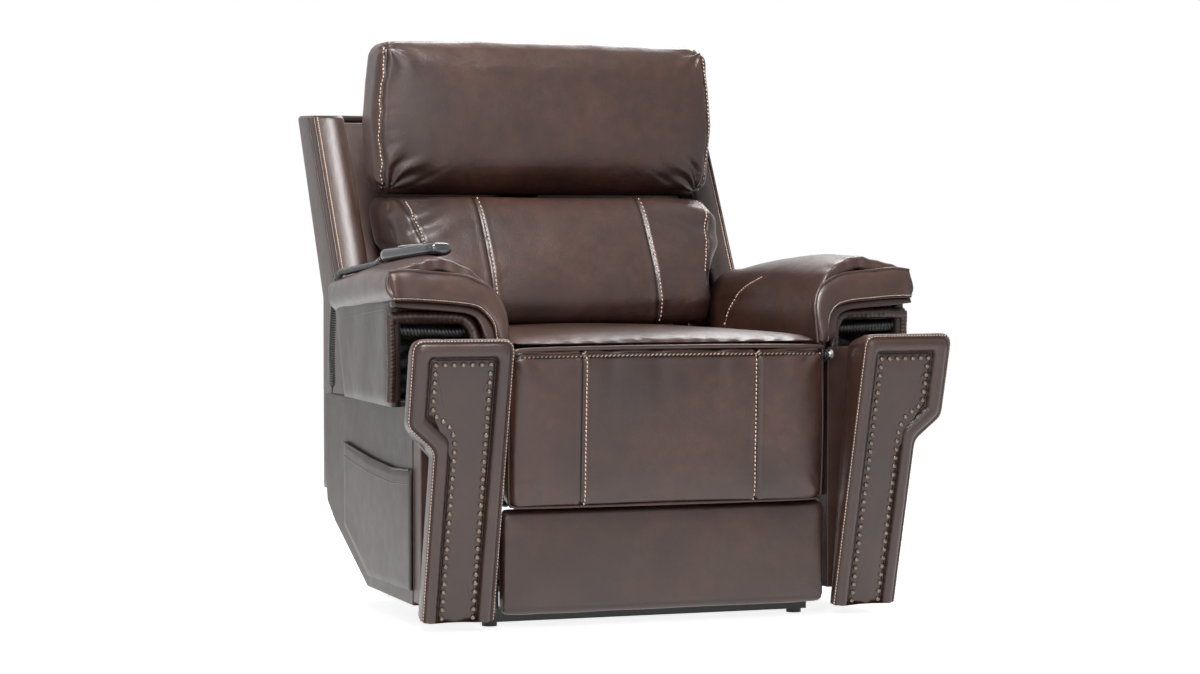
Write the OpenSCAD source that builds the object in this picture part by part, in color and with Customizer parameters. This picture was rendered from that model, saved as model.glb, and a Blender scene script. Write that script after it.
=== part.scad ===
// Lift recliner chair. Millimetres, Z up, Y to the rear, X to the right seen from the front.
// The origin is on the floor, under the middle of the chair's box.

/* [Floor base] */
// Half the width of the base over its side rails
base_half_w = 300; // [298:1:310]
// Width of a side rail
rail_w = 30; // [24:1:31]
// Height of the steel tube of the base
rail_h = 22; // [18:1:26]
// Width of the front and rear bars
bar_w = 40; // [30:1:50]
// Front edge of the base
base_front_y = -293; // [-300:1:-285]
// Rear edge of the base
base_rear_y = 261; // [250:1:275]
// Height of a floor glide
glide_h = 8; // [6:1:10]
// Radius of a floor glide
glide_r = 13; // [10:1:14]

/* [Mechanism] */
// Thickness of the mechanism plates and links
plate_t = 5; // [4:0.5:5]
// Half width of a link
link_r = 12; // [10:1:13]
// Radius of a pivot pin
pin_r = 6; // [5:0.5:7]
// Running clearance of a pin in its bore
pin_gap = 0.05; // [0.02:0.01:0.1]
// Clearance of an open pivot of a closed linkage
open_gap = 1.6; // [1.4:0.1:2.5]
// Radius of a cross tube
tube_r = 10; // [8:1:11]
// Inner face of the base lugs
lug_x = 270; // [270:1:272]
// Radius of an actuator's outer tube
motor_r = 22; // [18:1:24]
// Radius of an actuator's rod
rod_r = 9; // [7:1:10]

/* [Seat and footrest] */
// Half width of the seat cushion
seat_half_w = 284; // [270:1:285]
// Height of the seat crown
seat_top = 499; // [492:1:502]
// Half width of the chaise pad
chaise_half_w = 290; // [275:1:290]
// Thickness of the chaise pad
chaise_t = 62; // [50:1:64]
// Bottom edge of the chaise pad
chaise_bottom = 206; // [204:1:225]
// Half width of the lower footrest panel
ottoman_half_w = 302; // [280:1:304]
// Thickness of the lower footrest panel
ottoman_t = 33; // [25:1:34]
// Bottom edge of the lower footrest panel
ottoman_bottom = 24; // [22:1:40]

/* [Arms] */
// Half width over the side panels
side_x = 435; // [430:1:440]
// Thickness of a side panel
side_t = 20; // [12:1:22]
// Half width over the arm boxes at the front
box_x = 478; // [470:1:480]
// Half width over the arm pads at the front
pad_x = 484; // [480:1:488]
// Inner face of the arm pads
pad_in_x = 286; // [286:1:288]
// Bottom of the upper arm box
box_z = 378; // [372:1:384]
// Crest of the arm pads at the front
pad_top = 628; // [620:1:634]
// Fall of the arm pads from front to rear
pad_fall = 26; // [15:1:32]
// Inward taper of the arms from front to rear
arm_taper = 46; // [35:1:50]
// Outer edge of the front post's head
post_x = 490; // [484:1:494]
// Top of the front post's face
post_top = 484; // [470:1:486]
// Diameter of a nail head
nail_d = 8.4; // [7:0.1:9]

/* [Back] */
// Half width over the wings
wing_x = 397; // [390:1:400]
// Width of a wing
wing_w = 62; // [50:1:64]
// Top of the wings
wing_top = 890; // [880:1:900]
// Half width of the headrest at its middle
head_half_w = 344; // [335:1:350]
// Bottom of the headrest cushion
head_bottom = 737; // [732:1:745]
// Top of the headrest cushion
head_top = 1018; // [1000:1:1025]
// Thickness of the headrest cushion
head_t = 102; // [90:1:108]
// Half width of the back cushion
back_half_w = 326; // [315:1:330]

/* [Handset] */
// Length of the handset
handset_l = 172; // [165:1:176]
// Width of the handset
handset_w = 50; // [46:1:54]
// Thickness of the handset's base shell
handset_t = 12; // [10:1:14]
// Outer diameter of the curly cord
cord_d = 12; // [10:0.5:13]

/* [Hidden] */
$fn = 40;
soft_gap = 0.3;
link_waist = 1;

// pivots in the side view, as [Y, Z]
lift_pivot = [-248, 70];
chair_pivot = [122, 150];
link_foot = [-268, 91];
link_head = [57, 200];
lift_tube_at = [-216, 154];
back_pivot = [122, 330];
back_tube_at = [148, 254.4];
chaise_pivot = [-386, 458];
head_pivot = [312, 757];
leg_arm = [76, -116];
leg_span = [130, -140];
board_pin = chaise_pivot + leg_arm;
leg_pivot = chaise_pivot + leg_span;
knee = leg_pivot + leg_arm;

// planes of the plates, from the outside in
front_link_x = lug_x - 3 - plate_t;
lift_arm_x = front_link_x - 3 - plate_t;
plate_x0 = lift_arm_x - 5 - plate_t;
back_plate_x = plate_x0 - 3 - plate_t;
upper_leg_x = back_plate_x - 4 - plate_t;
lower_leg_x = upper_leg_x - 3 - plate_t;
board_ear_x = lower_leg_x - 3 - plate_t;

seat_rail_t = 18;
spring_r = 2;
seat_rail_y = -298;
seat_rail_z = 346;
rail_top = glide_h + rail_h;
rail_in_x = base_half_w - rail_w;
board_y0 = -335;
board_y1 = -323;
front_board_y0 = -352;
front_board_y1 = -312;
arm_y0 = -312;
inner_wall_x = 303;
inner_wall_t = 12;
recess_in_x = 322;
recess_out_x = 462;
recess_top = 522;
recess_depth = 110;
arm_rear_low = [60, 378];
arm_rear_high = [156, 569];
arm_rear_slope = (arm_rear_high[0] - arm_rear_low[0]) / (arm_rear_high[1] - arm_rear_low[1]);
back_slope = 0.553;
wing_foot = [105, 380];
skirt_y = 324;
skirt_z = 200;
shell_rear_top = 489;
wall = 12;
lip_z = 482;
post_lean = atan2(113, 454);
post_turn = 4.5;
post_low_z = 20;
post_low_y = -367.6;
post_cap = 10;
head_thick = 40;
post_in_x = 314;
post_neck_x = 436;
post_head_z = 370;
post_neck_z = 302;
border_w = 38;
nail_pitch = 14.8;
handset_at = [-387, -184];
handset_turn = 14.5;
handset_tilt = 3.2;
handset_z = 622.4;
cord_exit = 6;
key_d = 9;
key_travel = 1;

function arm_rear_y(z) = arm_rear_high[0] + arm_rear_slope * (z - arm_rear_high[1]);
function shell_front_y(z) = wing_foot[0] + back_slope * (z - wing_foot[1]);

module side_view(x0, w) {
    translate([x0, 0, 0]) rotate([90, 0, 90]) linear_extrude(w) children();
}

module rod_x(at, x0, x1, r) {
    translate([x0, at[0], at[1]]) rotate([0, 90, 0]) cylinder(r = r, h = x1 - x0);
}

module rod_y(x, z, y0, y1, r) {
    translate([x, y0, z]) rotate([-90, 0, 0]) cylinder(r = r, h = y1 - y0);
}

module block(x0, x1, y0, y1, z0, z1) {
    translate([x0, y0, z0]) cube([x1 - x0, y1 - y0, z1 - z0]);
}

module bar_2d(p, q, w) {
    d = q - p;
    translate(p) rotate(atan2(d[1], d[0])) translate([0, -w / 2]) square([norm(d), w]);
}

// a flat link through the given points, with round ends a little wider than its bars
module link_2d(points, r) {
    for (i = [0 : len(points) - 2]) bar_2d(points[i], points[i + 1], 2 * (r - link_waist));
    for (p = points) translate(p) circle(r);
}

module mirrored(side) {
    if (side > 0) children();
    else mirror([1, 0, 0]) children();
}

module both() {
    children();
    mirror([1, 0, 0]) children();
}

// a closed skin through rings of equally many points
module loft(rings) {
    n = len(rings[0]);
    m = len(rings);
    points = [for (ring = rings) for (p = ring) p];
    walls = [for (j = [0 : m - 2]) for (i = [0 : n - 1])
        [j * n + i, (j + 1) * n + i, (j + 1) * n + (i + 1) % n, j * n + (i + 1) % n]];
    tris = [for (w = walls) each [[w[0], w[1], w[2]], [w[0], w[2], w[3]]]];
    caps = [[for (i = [0 : n - 1]) i], [for (i = [n - 1 : -1 : 0]) (m - 1) * n + i]];
    polyhedron(points, concat(tris, caps));
}

// a skin through rings that are each an outer curve and, on its way back, an inner curve
module strip_loft(rings) {
    n = len(rings[0]);
    m = len(rings);
    points = [for (ring = rings) for (p = ring) p];
    walls = [for (j = [0 : m - 2]) for (i = [0 : n - 1])
        [j * n + i, (j + 1) * n + i, (j + 1) * n + (i + 1) % n, j * n + (i + 1) % n]];
    fronts = [for (i = [0 : n / 2 - 2]) [i, i + 1, n - 2 - i, n - 1 - i]];
    last = (m - 1) * n;
    rears = [for (f = fronts) [last + f[3], last + f[2], last + f[1], last + f[0]]];
    quads = concat(walls, fronts, rears);
    polyhedron(points, [for (w = quads) each [[w[0], w[2], w[1]], [w[0], w[3], w[2]]]]);
}

// a rounded rectangle as points, its half sizes a and b and its corner radius r
function round_rect(a, b, r, n = 5) = [for (k = [0 : 3]) for (i = [0 : n])
    let (t = 90 * k + 90 * i / n, sx = (k == 0 || k == 3) ? 1 : -1, sy = k < 2 ? 1 : -1)
    [sx * (a - r) + r * cos(t), sy * (b - r) + r * sin(t)]];

// a crowned cushion on its side: width 2a along X, height 2b along Z, depth t along Y
module pillow(a, b, t, corner, edge) {
    rings = [for (j = [0 : 8]) let (u = 90 - 22.5 * j, e = edge * (1 - cos(u)))
        [for (p = round_rect(a - e, b - e, max(corner - e * 0.5, 4))) [p[0], t / 2 * sin(u), p[1]]]];
    loft(rings);
}

module steel() { color([0.12, 0.12, 0.13]) children(); }
module leather() { color([0.2, 0.11, 0.08]) children(); }
module wood() { color([0.66, 0.5, 0.32]) children(); }
module dark_plastic() { color([0.05, 0.05, 0.06]) children(); }

// ---- floor base ----

module base_rail(side) {
    steel() mirrored(side) block(rail_in_x, base_half_w, base_front_y, base_rear_y, glide_h, rail_top);
}

module base_front_bar() {
    steel() block(-rail_in_x, rail_in_x, base_front_y, base_front_y + bar_w, glide_h, rail_top);
}

module base_rear_bar() {
    steel() block(-rail_in_x, rail_in_x, base_rear_y - bar_w, base_rear_y, glide_h, rail_top);
}

module floor_glides() {
    inset = base_half_w - rail_w / 2;
    dark_plastic() both() {
        for (y = [base_front_y + bar_w / 2, base_rear_y - bar_w / 2])
            translate([inset, y, 0]) cylinder(r = glide_r, h = glide_h);
    }
}

// lugs that stand on the rails, with the fixed pins of the lift arms and links
module base_lugs() {
    steel() both() {
        side_view(lug_x, plate_t) {
            link_2d([lift_pivot, link_foot], link_r);
            translate([link_foot[0] - 0.8 * link_r, rail_top])
                square([lift_pivot[0] - link_foot[0] + 1.6 * link_r, lift_pivot[1] - rail_top]);
        }
        rod_x(lift_pivot, lift_arm_x - 1, lug_x, pin_r);
        rod_x(link_foot, front_link_x - 1, lug_x, pin_r);
    }
}

lift_z = 157;
lift_gear = [78, 160];
lift_mouth = -110;

module lift_motor() {
    dark_plastic() union() {
        difference() {
            union() {
                block(-32, 32, lift_gear[0], lift_gear[1], lift_z - 28, lift_z + 34);
                rod_y(0, lift_z, lift_mouth, lift_gear[0], motor_r);
            }
            rod_y(0, lift_z, lift_mouth - 1, lift_gear[0] + 20, rod_r + 0.5);
        }
        block(32, 92, lift_gear[0] + 4, lift_gear[1] - 4, lift_z - 26, lift_z + 26);
        block(-30, 30, lift_gear[1] - 40, lift_gear[1], glide_h + 6, lift_z - 28);
        block(-30, 30, lift_gear[1] - 40, base_rear_y - bar_w, glide_h, glide_h + 6);
    }
}

// a rod with a U-shaped saddle that holds a cross tube with clearance
module saddle_rod(tube_at, z, y_far, z_gap) {
    gap = 0.4;
    r = tube_r + gap;
    dir = y_far > tube_at[0] ? 1 : -1;
    difference() {
        block(-14, 14, tube_at[0] - tube_r - 9, tube_at[0] + tube_r + 9, z - 24, z + 24);
        rod_x([tube_at[0], z - z_gap], -15, 15, r);
        rod_x([tube_at[0], z + z_gap], -15, 15, r);
        block(-15, 15, tube_at[0] - r, tube_at[0] + r, z - z_gap, z + z_gap);
    }
    y0 = dir > 0 ? tube_at[0] + tube_r + 9 : y_far;
    y1 = dir > 0 ? y_far : tube_at[0] - tube_r - 9;
    rod_y(0, z, y0, y1, rod_r);
}

module lift_rod() {
    color("silver") saddle_rod(lift_tube_at, lift_z, lift_gear[0] + 18, 4);
}

module power_box() {
    dark_plastic() difference() {
        block(-200, -110, base_rear_y - bar_w - 70, base_rear_y - bar_w, glide_h, glide_h + 46);
        block(-165, -145, base_rear_y - bar_w - 71, base_rear_y - bar_w - 58, glide_h + 20, glide_h + 34);
    }
}

// ---- lift linkage ----

module lift_arm(side) {
    steel() mirrored(side) difference() {
        side_view(lift_arm_x, plate_t) {
            link_2d([lift_pivot, chair_pivot], link_r + 3);
            link_2d([lift_pivot, lift_tube_at], link_r);
        }
        rod_x(lift_pivot, lift_arm_x - 1, lug_x, pin_r + pin_gap);
        rod_x(chair_pivot, lift_arm_x - 1, lug_x, pin_r + pin_gap);
    }
}

module lift_cross_tube() {
    steel() rod_x(lift_tube_at, -lift_arm_x, lift_arm_x, tube_r);
}

module front_link(side) {
    steel() mirrored(side) difference() {
        side_view(front_link_x, plate_t) link_2d([link_foot, link_head], link_r);
        rod_x(link_foot, front_link_x - 1, lug_x, pin_r + pin_gap);
        rod_x(link_head, front_link_x - 1, lug_x, pin_r + open_gap);
    }
}

// ---- seat frame ----

module mech_plate(side) {
    steel() mirrored(side) difference() {
        side_view(plate_x0, plate_t) {
            link_2d([chair_pivot, back_pivot, leg_pivot], link_r + 3);
            link_2d([chair_pivot, link_head], link_r);
            polygon([chair_pivot, back_pivot, leg_pivot, leg_pivot + [40, -14],
                link_head - [link_r, link_r]]);
        }
        rod_x(back_pivot, plate_x0 - 1, plate_x0 + plate_t + 1, pin_r);
        rod_x(chair_pivot, plate_x0 - 1, plate_x0 + plate_t + 1, pin_r);
        rod_x(link_head, plate_x0 - 1, plate_x0 + plate_t + 1, pin_r);
        rod_x(leg_pivot, plate_x0 - 1, plate_x0 + plate_t + 1, pin_r);
    }
}

// pins that the side plates carry, and the ears that hold the chaise hinge pins
module mech_pins() {
    color("silver") both() {
        rod_x(chair_pivot, plate_x0, lift_arm_x + plate_t + 1, pin_r);
        rod_x(link_head, plate_x0, front_link_x + plate_t + 1, pin_r);
        rod_x(back_pivot, back_plate_x - 1, plate_x0 + plate_t, pin_r);
        rod_x(leg_pivot, upper_leg_x - 1, plate_x0 + plate_t, pin_r);
        side_view(inner_wall_x - 4, 4) link_2d([chaise_pivot, [-300, 455]], 9);
        rod_x(chaise_pivot, chaise_half_w + 0.5, inner_wall_x - 4, 5);
    }
}

module front_cross_rail() {
    wood() union() {
        block(-inner_wall_x, inner_wall_x, seat_rail_y, seat_rail_y + 30, seat_rail_z,
            seat_rail_z + seat_rail_t);
        block(-26, 26, seat_rail_y, seat_rail_y + 22, 286, seat_rail_z);
    }
}

module rear_cross_rail() {
    wood() block(-inner_wall_x, inner_wall_x, 52, 84, seat_rail_z, seat_rail_z + seat_rail_t);
}

module seat_springs() {
    color("silver") for (x = [-200 : 80 : 200])
        rod_y(x, seat_rail_z + seat_rail_t - spring_r, seat_rail_y + 30, 52, spring_r);
}

// rings across the seat, each made from the edge rounding e and the crown c
seat_steps = [[-1, 5], [-0.97, 2], [-0.8, 0], [0, 0], [0.8, 0], [0.97, 2], [1, 5]];
seat_y0 = -390;
seat_y1 = 148;
seat_mid_y = -150;
under_lip_y = board_y1 + 6;
seat_bottom = seat_rail_z + seat_rail_t + soft_gap;

function seat_crown(s, e) = 9 * (1 - s * s) - e;

module seat_cushion() {
    flat = seat_top - 9;
    nose = seat_y0 + 50;
    leather() strip_loft([for (k = seat_steps)
        let (x = seat_half_w * k[0], e = k[1], c = seat_crown(k[0], e), low = seat_bottom + e)
        [[x, seat_y0 + 2 + e, flat - 4 + c / 2], [x, nose, flat + c], [x, under_lip_y, flat + c],
         [x, under_lip_y + 1, flat + c], [x, seat_mid_y, flat + c],
         [x, seat_y1 - 30 - e, flat - 5 + c], [x, seat_y1 - e, flat - 21 - e],
         [x, seat_y1 - e, low], [x, seat_y1 - 31 - e, low], [x, seat_mid_y, low],
         [x, under_lip_y + 0.5, low], [x, under_lip_y, lip_z], [x, nose, lip_z],
         [x, seat_y0 + e, lip_z]]]);
}

module recline_motor() {
    z = 252;
    dark_plastic() union() {
        difference() {
            union() {
                block(-32, 32, -276, -196, z - 28, z + 34);
                rod_y(0, z, -196, 62, motor_r);
            }
            rod_y(0, z, -216, 63, rod_r + 0.5);
        }
        block(32, 92, -272, -200, z - 26, z + 26);
    }
}

module recline_rod() {
    color("silver") saddle_rod(back_tube_at, 252, -134, 3.4);
}

// ---- arms ----

module arm_front_boards() {
    leather() both()
        block(inner_wall_x + inner_wall_t, side_x, front_board_y0, front_board_y1, post_low_z + 2, 472);
}

module side_panel(side) {
    leather() mirrored(side) side_view(side_x - side_t, side_t)
        polygon([[front_board_y1, 44], [-60, 52], [178, 185], [192, 260], [192, box_z],
            [front_board_y1, box_z]]);
}

// plan of the arm box, its outer side drawn in by inset
module arm_plan(inset) {
    polygon([[inner_wall_x + inset, arm_y0], [box_x - inset, arm_y0],
        [box_x - arm_taper - inset, arm_rear_high[0] + 20], [inner_wall_x + inset, arm_rear_high[0] + 20]]);
}

// side of the arm box; its top follows the underside of the pad
module arm_side_2d() {
    low = pad_under - pad_fall;
    y0 = pad_front_y(pad_under);
    slope = pad_fall / (arm_rear_y(low) - y0);
    polygon([[arm_y0, box_z], arm_rear_low, [arm_rear_y(low) - 0.5, low - soft_gap],
        [arm_y0, pad_under - slope * (arm_y0 - y0) - soft_gap]]);
}

module arm_box(side) {
    leather() mirrored(side) union() {
        difference() {
            intersection() {
                linear_extrude(600) arm_plan(0);
                side_view(inner_wall_x - 1, 200) arm_side_2d();
            }
            block(recess_in_x, recess_out_x, arm_y0 - 1, arm_y0 + recess_depth, box_z + 10, recess_top);
        }
        side_view(inner_wall_x, inner_wall_t)
            polygon([[-330, 210], [60, 210], arm_rear_low, [arm_y0, box_z], [arm_y0, 466], [-330, 466]]);
    }
}

// cross-section of the arm pad at the front as [X, Z]: its outside, then its inside
pad_under = pad_top - 81;
flange_x = inner_wall_x - soft_gap;
pad_outside = [[pad_x - 2, pad_top - 76], [pad_x, pad_top - 42], [pad_x - 10, pad_top - 28],
    [pad_x - 40, pad_top - 12], [pad_x - 90, pad_top], [pad_x - 134, pad_top - 8],
    [pad_x - 166, pad_top - 32], [pad_x - 187, pad_top - 66], [pad_in_x + 3, pad_top - 100],
    [pad_in_x, pad_top - 128], [pad_in_x, pad_top - 157]];
pad_inside = [[flange_x, pad_top - 157], [flange_x, pad_top - 128], [flange_x, pad_top - 100],
    [flange_x, pad_under + 1], [pad_x - 155, pad_under], [pad_x - 125, pad_under],
    [pad_x - 90, pad_under], [pad_x - 55, pad_under], [pad_x - 30, pad_under],
    [pad_x - 16, pad_under], [pad_x - 8, pad_under]];

// the pad's front edge leans forward as it comes down
function pad_front_y(z) = max(arm_y0 - 6 - 0.38 * (pad_top - z), -368);

// the section at s, from 0 at the front to 1 at the slanted rear edge
function pad_ring(s) = [for (p = concat(pad_outside, pad_inside))
    let (z = p[1] - s * pad_fall,
        front = pad_front_y(p[1]),
        x = pad_in_x + (p[0] - pad_in_x) * (1 - s * arm_taper / (pad_x - pad_in_x)))
    [p[0] <= inner_wall_x ? p[0] : x, front + s * (arm_rear_y(z) - front), z]];

module arm_pad(side) {
    leather() mirrored(side) strip_loft([for (s = [0 : 0.2 : 1]) pad_ring(s)]);
}

module recess_linings() {
    color([0.06, 0.05, 0.05]) both()
        block(recess_in_x, recess_out_x, arm_y0 + recess_depth - 6, arm_y0 + recess_depth, box_z + 10,
            recess_top);
}

// ---- front posts ----

// outline of a post in its own plane, X outwards and Z up from the bottom edge
module post_2d() {
    h = post_top + post_cap - post_low_z;
    polygon([[post_in_x, 0], [post_neck_x, 0], for (p = neck_curve)
        [post_neck_x + 5 + p[0] * (post_x - post_neck_x - 10),
            post_neck_z - post_low_z + p[1] * (post_head_z - post_neck_z)],
        [post_x, h - 50], [post_x, h - 26], [post_x - 8, h - 8], [post_x - 26, h],
        [post_in_x + 30, h], [post_in_x + 12, h - 8], [post_in_x + 4, h - 26]]);
}

// the head's lower corner and the neck, as shares of the way out and up
neck_curve = [[0, 0], [0.14, 0.2], [0.27, 0.31], [0.58, 0.48], [0.84, 0.68], [0.97, 1]];

post_h = post_top - post_low_z;
post_rise = tan(post_lean);
post_mid_x = (post_in_x + post_x) / 2;

module post(side) {
    top_y = post_low_y - post_h * post_rise;
    leather() mirrored(side) difference() {
        intersection() {
            translate([0, 0, post_low_z]) rotate([90, 0, 0]) translate([0, 0, -600])
                linear_extrude(1200) post_2d();
            turned() union() {
                side_view(post_in_x - 20, side_x - post_in_x + 20)
                    polygon([[front_board_y0 + 20, post_low_z], [post_low_y, post_low_z],
                        [top_y, post_top], [top_y + head_thick, post_top + post_cap],
                        [front_board_y0 + 20, post_top - 20]]);
                side_view(side_x - 1, 70)
                    polygon([[post_low_y + head_thick, post_low_z], [post_low_y, post_low_z],
                        [top_y, post_top], [top_y + head_thick, post_top + post_cap]]);
            }
        }
        block(0, 600, front_board_y0, 0, 0, 600);
    }
}

// turns a post's face a little outwards about its own middle
module turned() {
    translate([post_mid_x, post_low_y, 0]) rotate([0, 0, post_turn])
        translate([-post_mid_x, -post_low_y, 0]) children();
}

nail_inset = border_w + 5;
nail_rows = floor((post_h - 2 * nail_inset + 8) / nail_pitch);

nail_neck_x = post_neck_x - nail_inset + 9;
nail_step_hi = post_head_z + 3;
nail_step_lo = post_neck_z + 30;

function nail_outer_x(z) =
    z > nail_step_hi ? post_x - nail_inset
    : z < nail_step_lo ? nail_neck_x
    : nail_neck_x + (post_x - nail_inset - nail_neck_x) * (z - nail_step_lo) / (nail_step_hi - nail_step_lo);

module nail_heads() {
    top_z = post_top - 31;
    across = (post_x - nail_inset) - (post_in_x + nail_inset);
    n_top = floor(across / nail_pitch);
    color([0.42, 0.36, 0.3]) both() {
        for (i = [0 : nail_rows], x = [post_in_x + nail_inset - 4 + 2 * i / nail_rows,
                nail_outer_x(top_z - i * nail_pitch)])
            nail([x, top_z - i * nail_pitch]);
        for (i = [1 : n_top])
            nail([post_in_x + nail_inset - 4 + i * (across + 4) / (n_top + 1), top_z]);
    }
}

module nail(at) {
    y = post_low_y + (at[0] - post_mid_x) * tan(post_turn)
        - (at[1] - post_low_z) * post_rise / cos(post_turn);
    translate([at[0], y, at[1]]) rotate([90 + post_lean, 0, post_turn]) cylinder(d = nail_d, h = 1.8);
}

module side_pockets() {
    leather() both() side_view(side_x, 5)
        polygon([[front_board_y1, 70], [-80, 72], [60, 150], [60, 300], [-140, 286],
            [front_board_y1, 252]]);
}

// ---- control and handset ----

module control_box() {
    dark_plastic() block(-200, -60, 30, 100, seat_rail_z - 41, seat_rail_z);
}

module at_handset() {
    translate([handset_at[0], handset_at[1], handset_z]) rotate([-handset_tilt, 0, handset_turn]) children();
}

module handset_base() {
    dark_plastic() at_handset() linear_extrude(handset_t) union() {
        square([handset_w, handset_l - handset_w], center = true);
        for (y = [-1, 1]) translate([0, y * (handset_l - handset_w) / 2]) circle(d = handset_w);
        translate([-9, 0]) square([18, handset_l / 2 + cord_exit]);
    }
}

key_places = [for (i = [0 : 3]) [0, -52 + 22 * i]];

module handset_cover() {
    dark_plastic() at_handset() difference() {
        translate([0, 0, handset_t]) linear_extrude(9) union() {
            square([handset_w - 4, handset_l - handset_w], center = true);
            for (y = [-1, 1]) translate([0, y * (handset_l - handset_w) / 2])
                circle(d = handset_w - 4);
        }
        for (p = key_places) translate([p[0], p[1], handset_t + 4]) cylinder(d = key_d + 0.6, h = 9);
    }
}

module key(i) {
    p = key_places[i];
    color([0.3, 0.3, 0.32]) at_handset()
        translate([p[0], p[1], handset_t + 4 + key_travel + 0.2]) cylinder(d = key_d, h = 5);
}

// a point of the handset, y along it and z above its underside
function handset_point(y, z) =
    let (along = y * cos(handset_tilt) + z * sin(handset_tilt))
    [handset_at[0] - along * sin(handset_turn), handset_at[1] + along * cos(handset_turn),
        handset_z - y * sin(handset_tilt) + z * cos(handset_tilt)];

cord_y = handset_l / 2 + cord_exit;
cord_points = [handset_point(cord_y, handset_t / 2), handset_point(cord_y + 10, handset_t / 2),
    [-414, -72, 619], [-414, -45, 612.5], [-413, -15, 610], [-412, 20, 607.5], [-411, 60, 604.5],
    [-411, 100, 601.5], [-411, 130, 599], [-411, 152, 598.5], [-411, 168, 596], [-412, 180, 588],
    [-414, 187, 574], [-417, 188, 555], [-420, 186, 525], [-423, 183, 490], [-425, 180, 450],
    [-425, 178, 415], [-425, 178, box_z]];

function unit(v) = v / norm(v);

module cord_tube(path, d, n = 10) {
    m = len(path);
    loft([for (j = [0 : m - 1])
        let (t = unit(path[min(j + 1, m - 1)] - path[max(j - 1, 0)]), u = unit(cross(t, [1, 0, 0])),
            w = cross(t, u))
        [for (i = [0 : n - 1]) path[j] + d / 2 * (cos(360 * i / n) * u + sin(360 * i / n) * w)]]);
}

module handset_cord() {
    dark_plastic() cord_tube(cord_points, cord_d);
}

// ---- back ----

module back_brackets() {
    steel() union() {
        both() difference() {
            side_view(back_plate_x, plate_t) {
                link_2d([back_tube_at, back_pivot, [200, 346], [248, 500]], link_r);
            }
            rod_x(back_pivot, back_plate_x - 1, back_plate_x + plate_t + 1, pin_r + pin_gap);
        }
        rod_x(back_tube_at, -back_plate_x - 1, back_plate_x + 1, tube_r);
    }
}

// the frame leans with the wings: two stiles and cross rails between the wings
module leaning_2d(y_off, z0, z1, t) {
    polygon([[shell_front_y(z0) + y_off, z0], [shell_front_y(z0) + y_off + t, z0],
        [shell_front_y(z1) + y_off + t, z1], [shell_front_y(z1) + y_off, z1]]);
}

module back_frame() {
    inner = wing_x - wing_w;
    deep = 22;
    wood() union() {
        both() side_view(back_plate_x + plate_t, 26) leaning_2d(64, 440, 860, deep);
        side_view(-inner, 2 * inner) leaning_2d(64, 830, 860, deep);
        side_view(-inner, 2 * inner) leaning_2d(64, 600, 630, deep);
        difference() {
            side_view(-inner, 2 * inner) leaning_2d(64, 440, 466, deep);
            both() side_view(back_plate_x - 0.5, plate_t + 0.5) square(600);
        }
    }
}

module inner_back_panel() {
    inner = wing_x - wing_w;
    leather() side_view(-inner, 2 * inner) leaning_2d(51.9, 524, wing_top - 14, wall);
}

module wing(side) {
    leather() mirrored(side) side_view(wing_x - wing_w, wing_w)
        polygon([wing_foot, [wing_foot[0] + 60, skirt_z + 60], [skirt_y - 60, skirt_z],
            [skirt_y, skirt_z], [skirt_y, 550], [shell_rear_top, wing_top],
            [shell_front_y(wing_top), wing_top - 4]]);
}

module outer_back_panel() {
    inner = wing_x - wing_w;
    leather() union() {
        side_view(-inner, 2 * inner)
            polygon([[skirt_y - wall, skirt_z], [skirt_y, skirt_z], [skirt_y, 550],
                [shell_rear_top, wing_top], [shell_front_y(wing_top - 14) + 66, wing_top],
                [shell_front_y(wing_top - 14) + 66, wing_top - 12],
                [shell_rear_top - wall - 8, wing_top - 12], [skirt_y - wall, 552]]);
    }
}

// rear of the back cushion where it lies on the panel behind it
function back_rear(z) = shell_front_y(z) + 51.9 - soft_gap;

// rings of the back cushion as height, front Y, rear Y and half width
back_rings = [[504, 62, 150, 262], [512, 40, 200, 279], [530, 36, back_rear(530), 283],
    [545, 36, back_rear(545), 283], [590, 54, back_rear(590), 283], [615, 68, back_rear(615), 300],
    [650, 88, back_rear(650), back_half_w], [700, 118, back_rear(700), back_half_w],
    [722, 134, back_rear(700) + 11, back_half_w - 4], [734, 152, back_rear(700) + 6, back_half_w - 16]];

module back_cushion() {
    leather() loft([for (r = back_rings)
        let (mid = (r[1] + r[2]) / 2, half = (r[2] - r[1]) / 2)
        [for (p = round_rect(r[3], half, min(half - 1, 38))) [p[0], mid + p[1], r[0]]]]);
}

// ---- headrest ----

module headrest_motor() {
    dark_plastic() union() {
        rod_x(head_pivot, -60, 60, 17);
        rod_x(head_pivot, -104, 104, pin_r);
        side_view(-40, 80) polygon([[head_pivot[0], head_pivot[1] - 14], [head_pivot[0], head_pivot[1] + 10],
            [shell_front_y(760) + 51.9, 760], [shell_front_y(742) + 51.9, 742]]);
    }
}

plate_y = 293;

module headrest_plate() {
    steel() union() {
        block(-200, 200, plate_y, plate_y + 5, 792, 980);
        both() difference() {
            side_view(92, plate_t) link_2d([head_pivot, [plate_y + 11, 800]], link_r - 2);
            rod_x(head_pivot, 91, 98, pin_r + pin_gap);
        }
    }
}

module headrest_cushion() {
    mid = plate_y - soft_gap - head_t / 2;
    leather() translate([0, mid, (head_top + head_bottom) / 2])
        pillow(head_half_w, (head_top - head_bottom) / 2, head_t, 46, 24);
}

// ---- footrest ----

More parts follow.
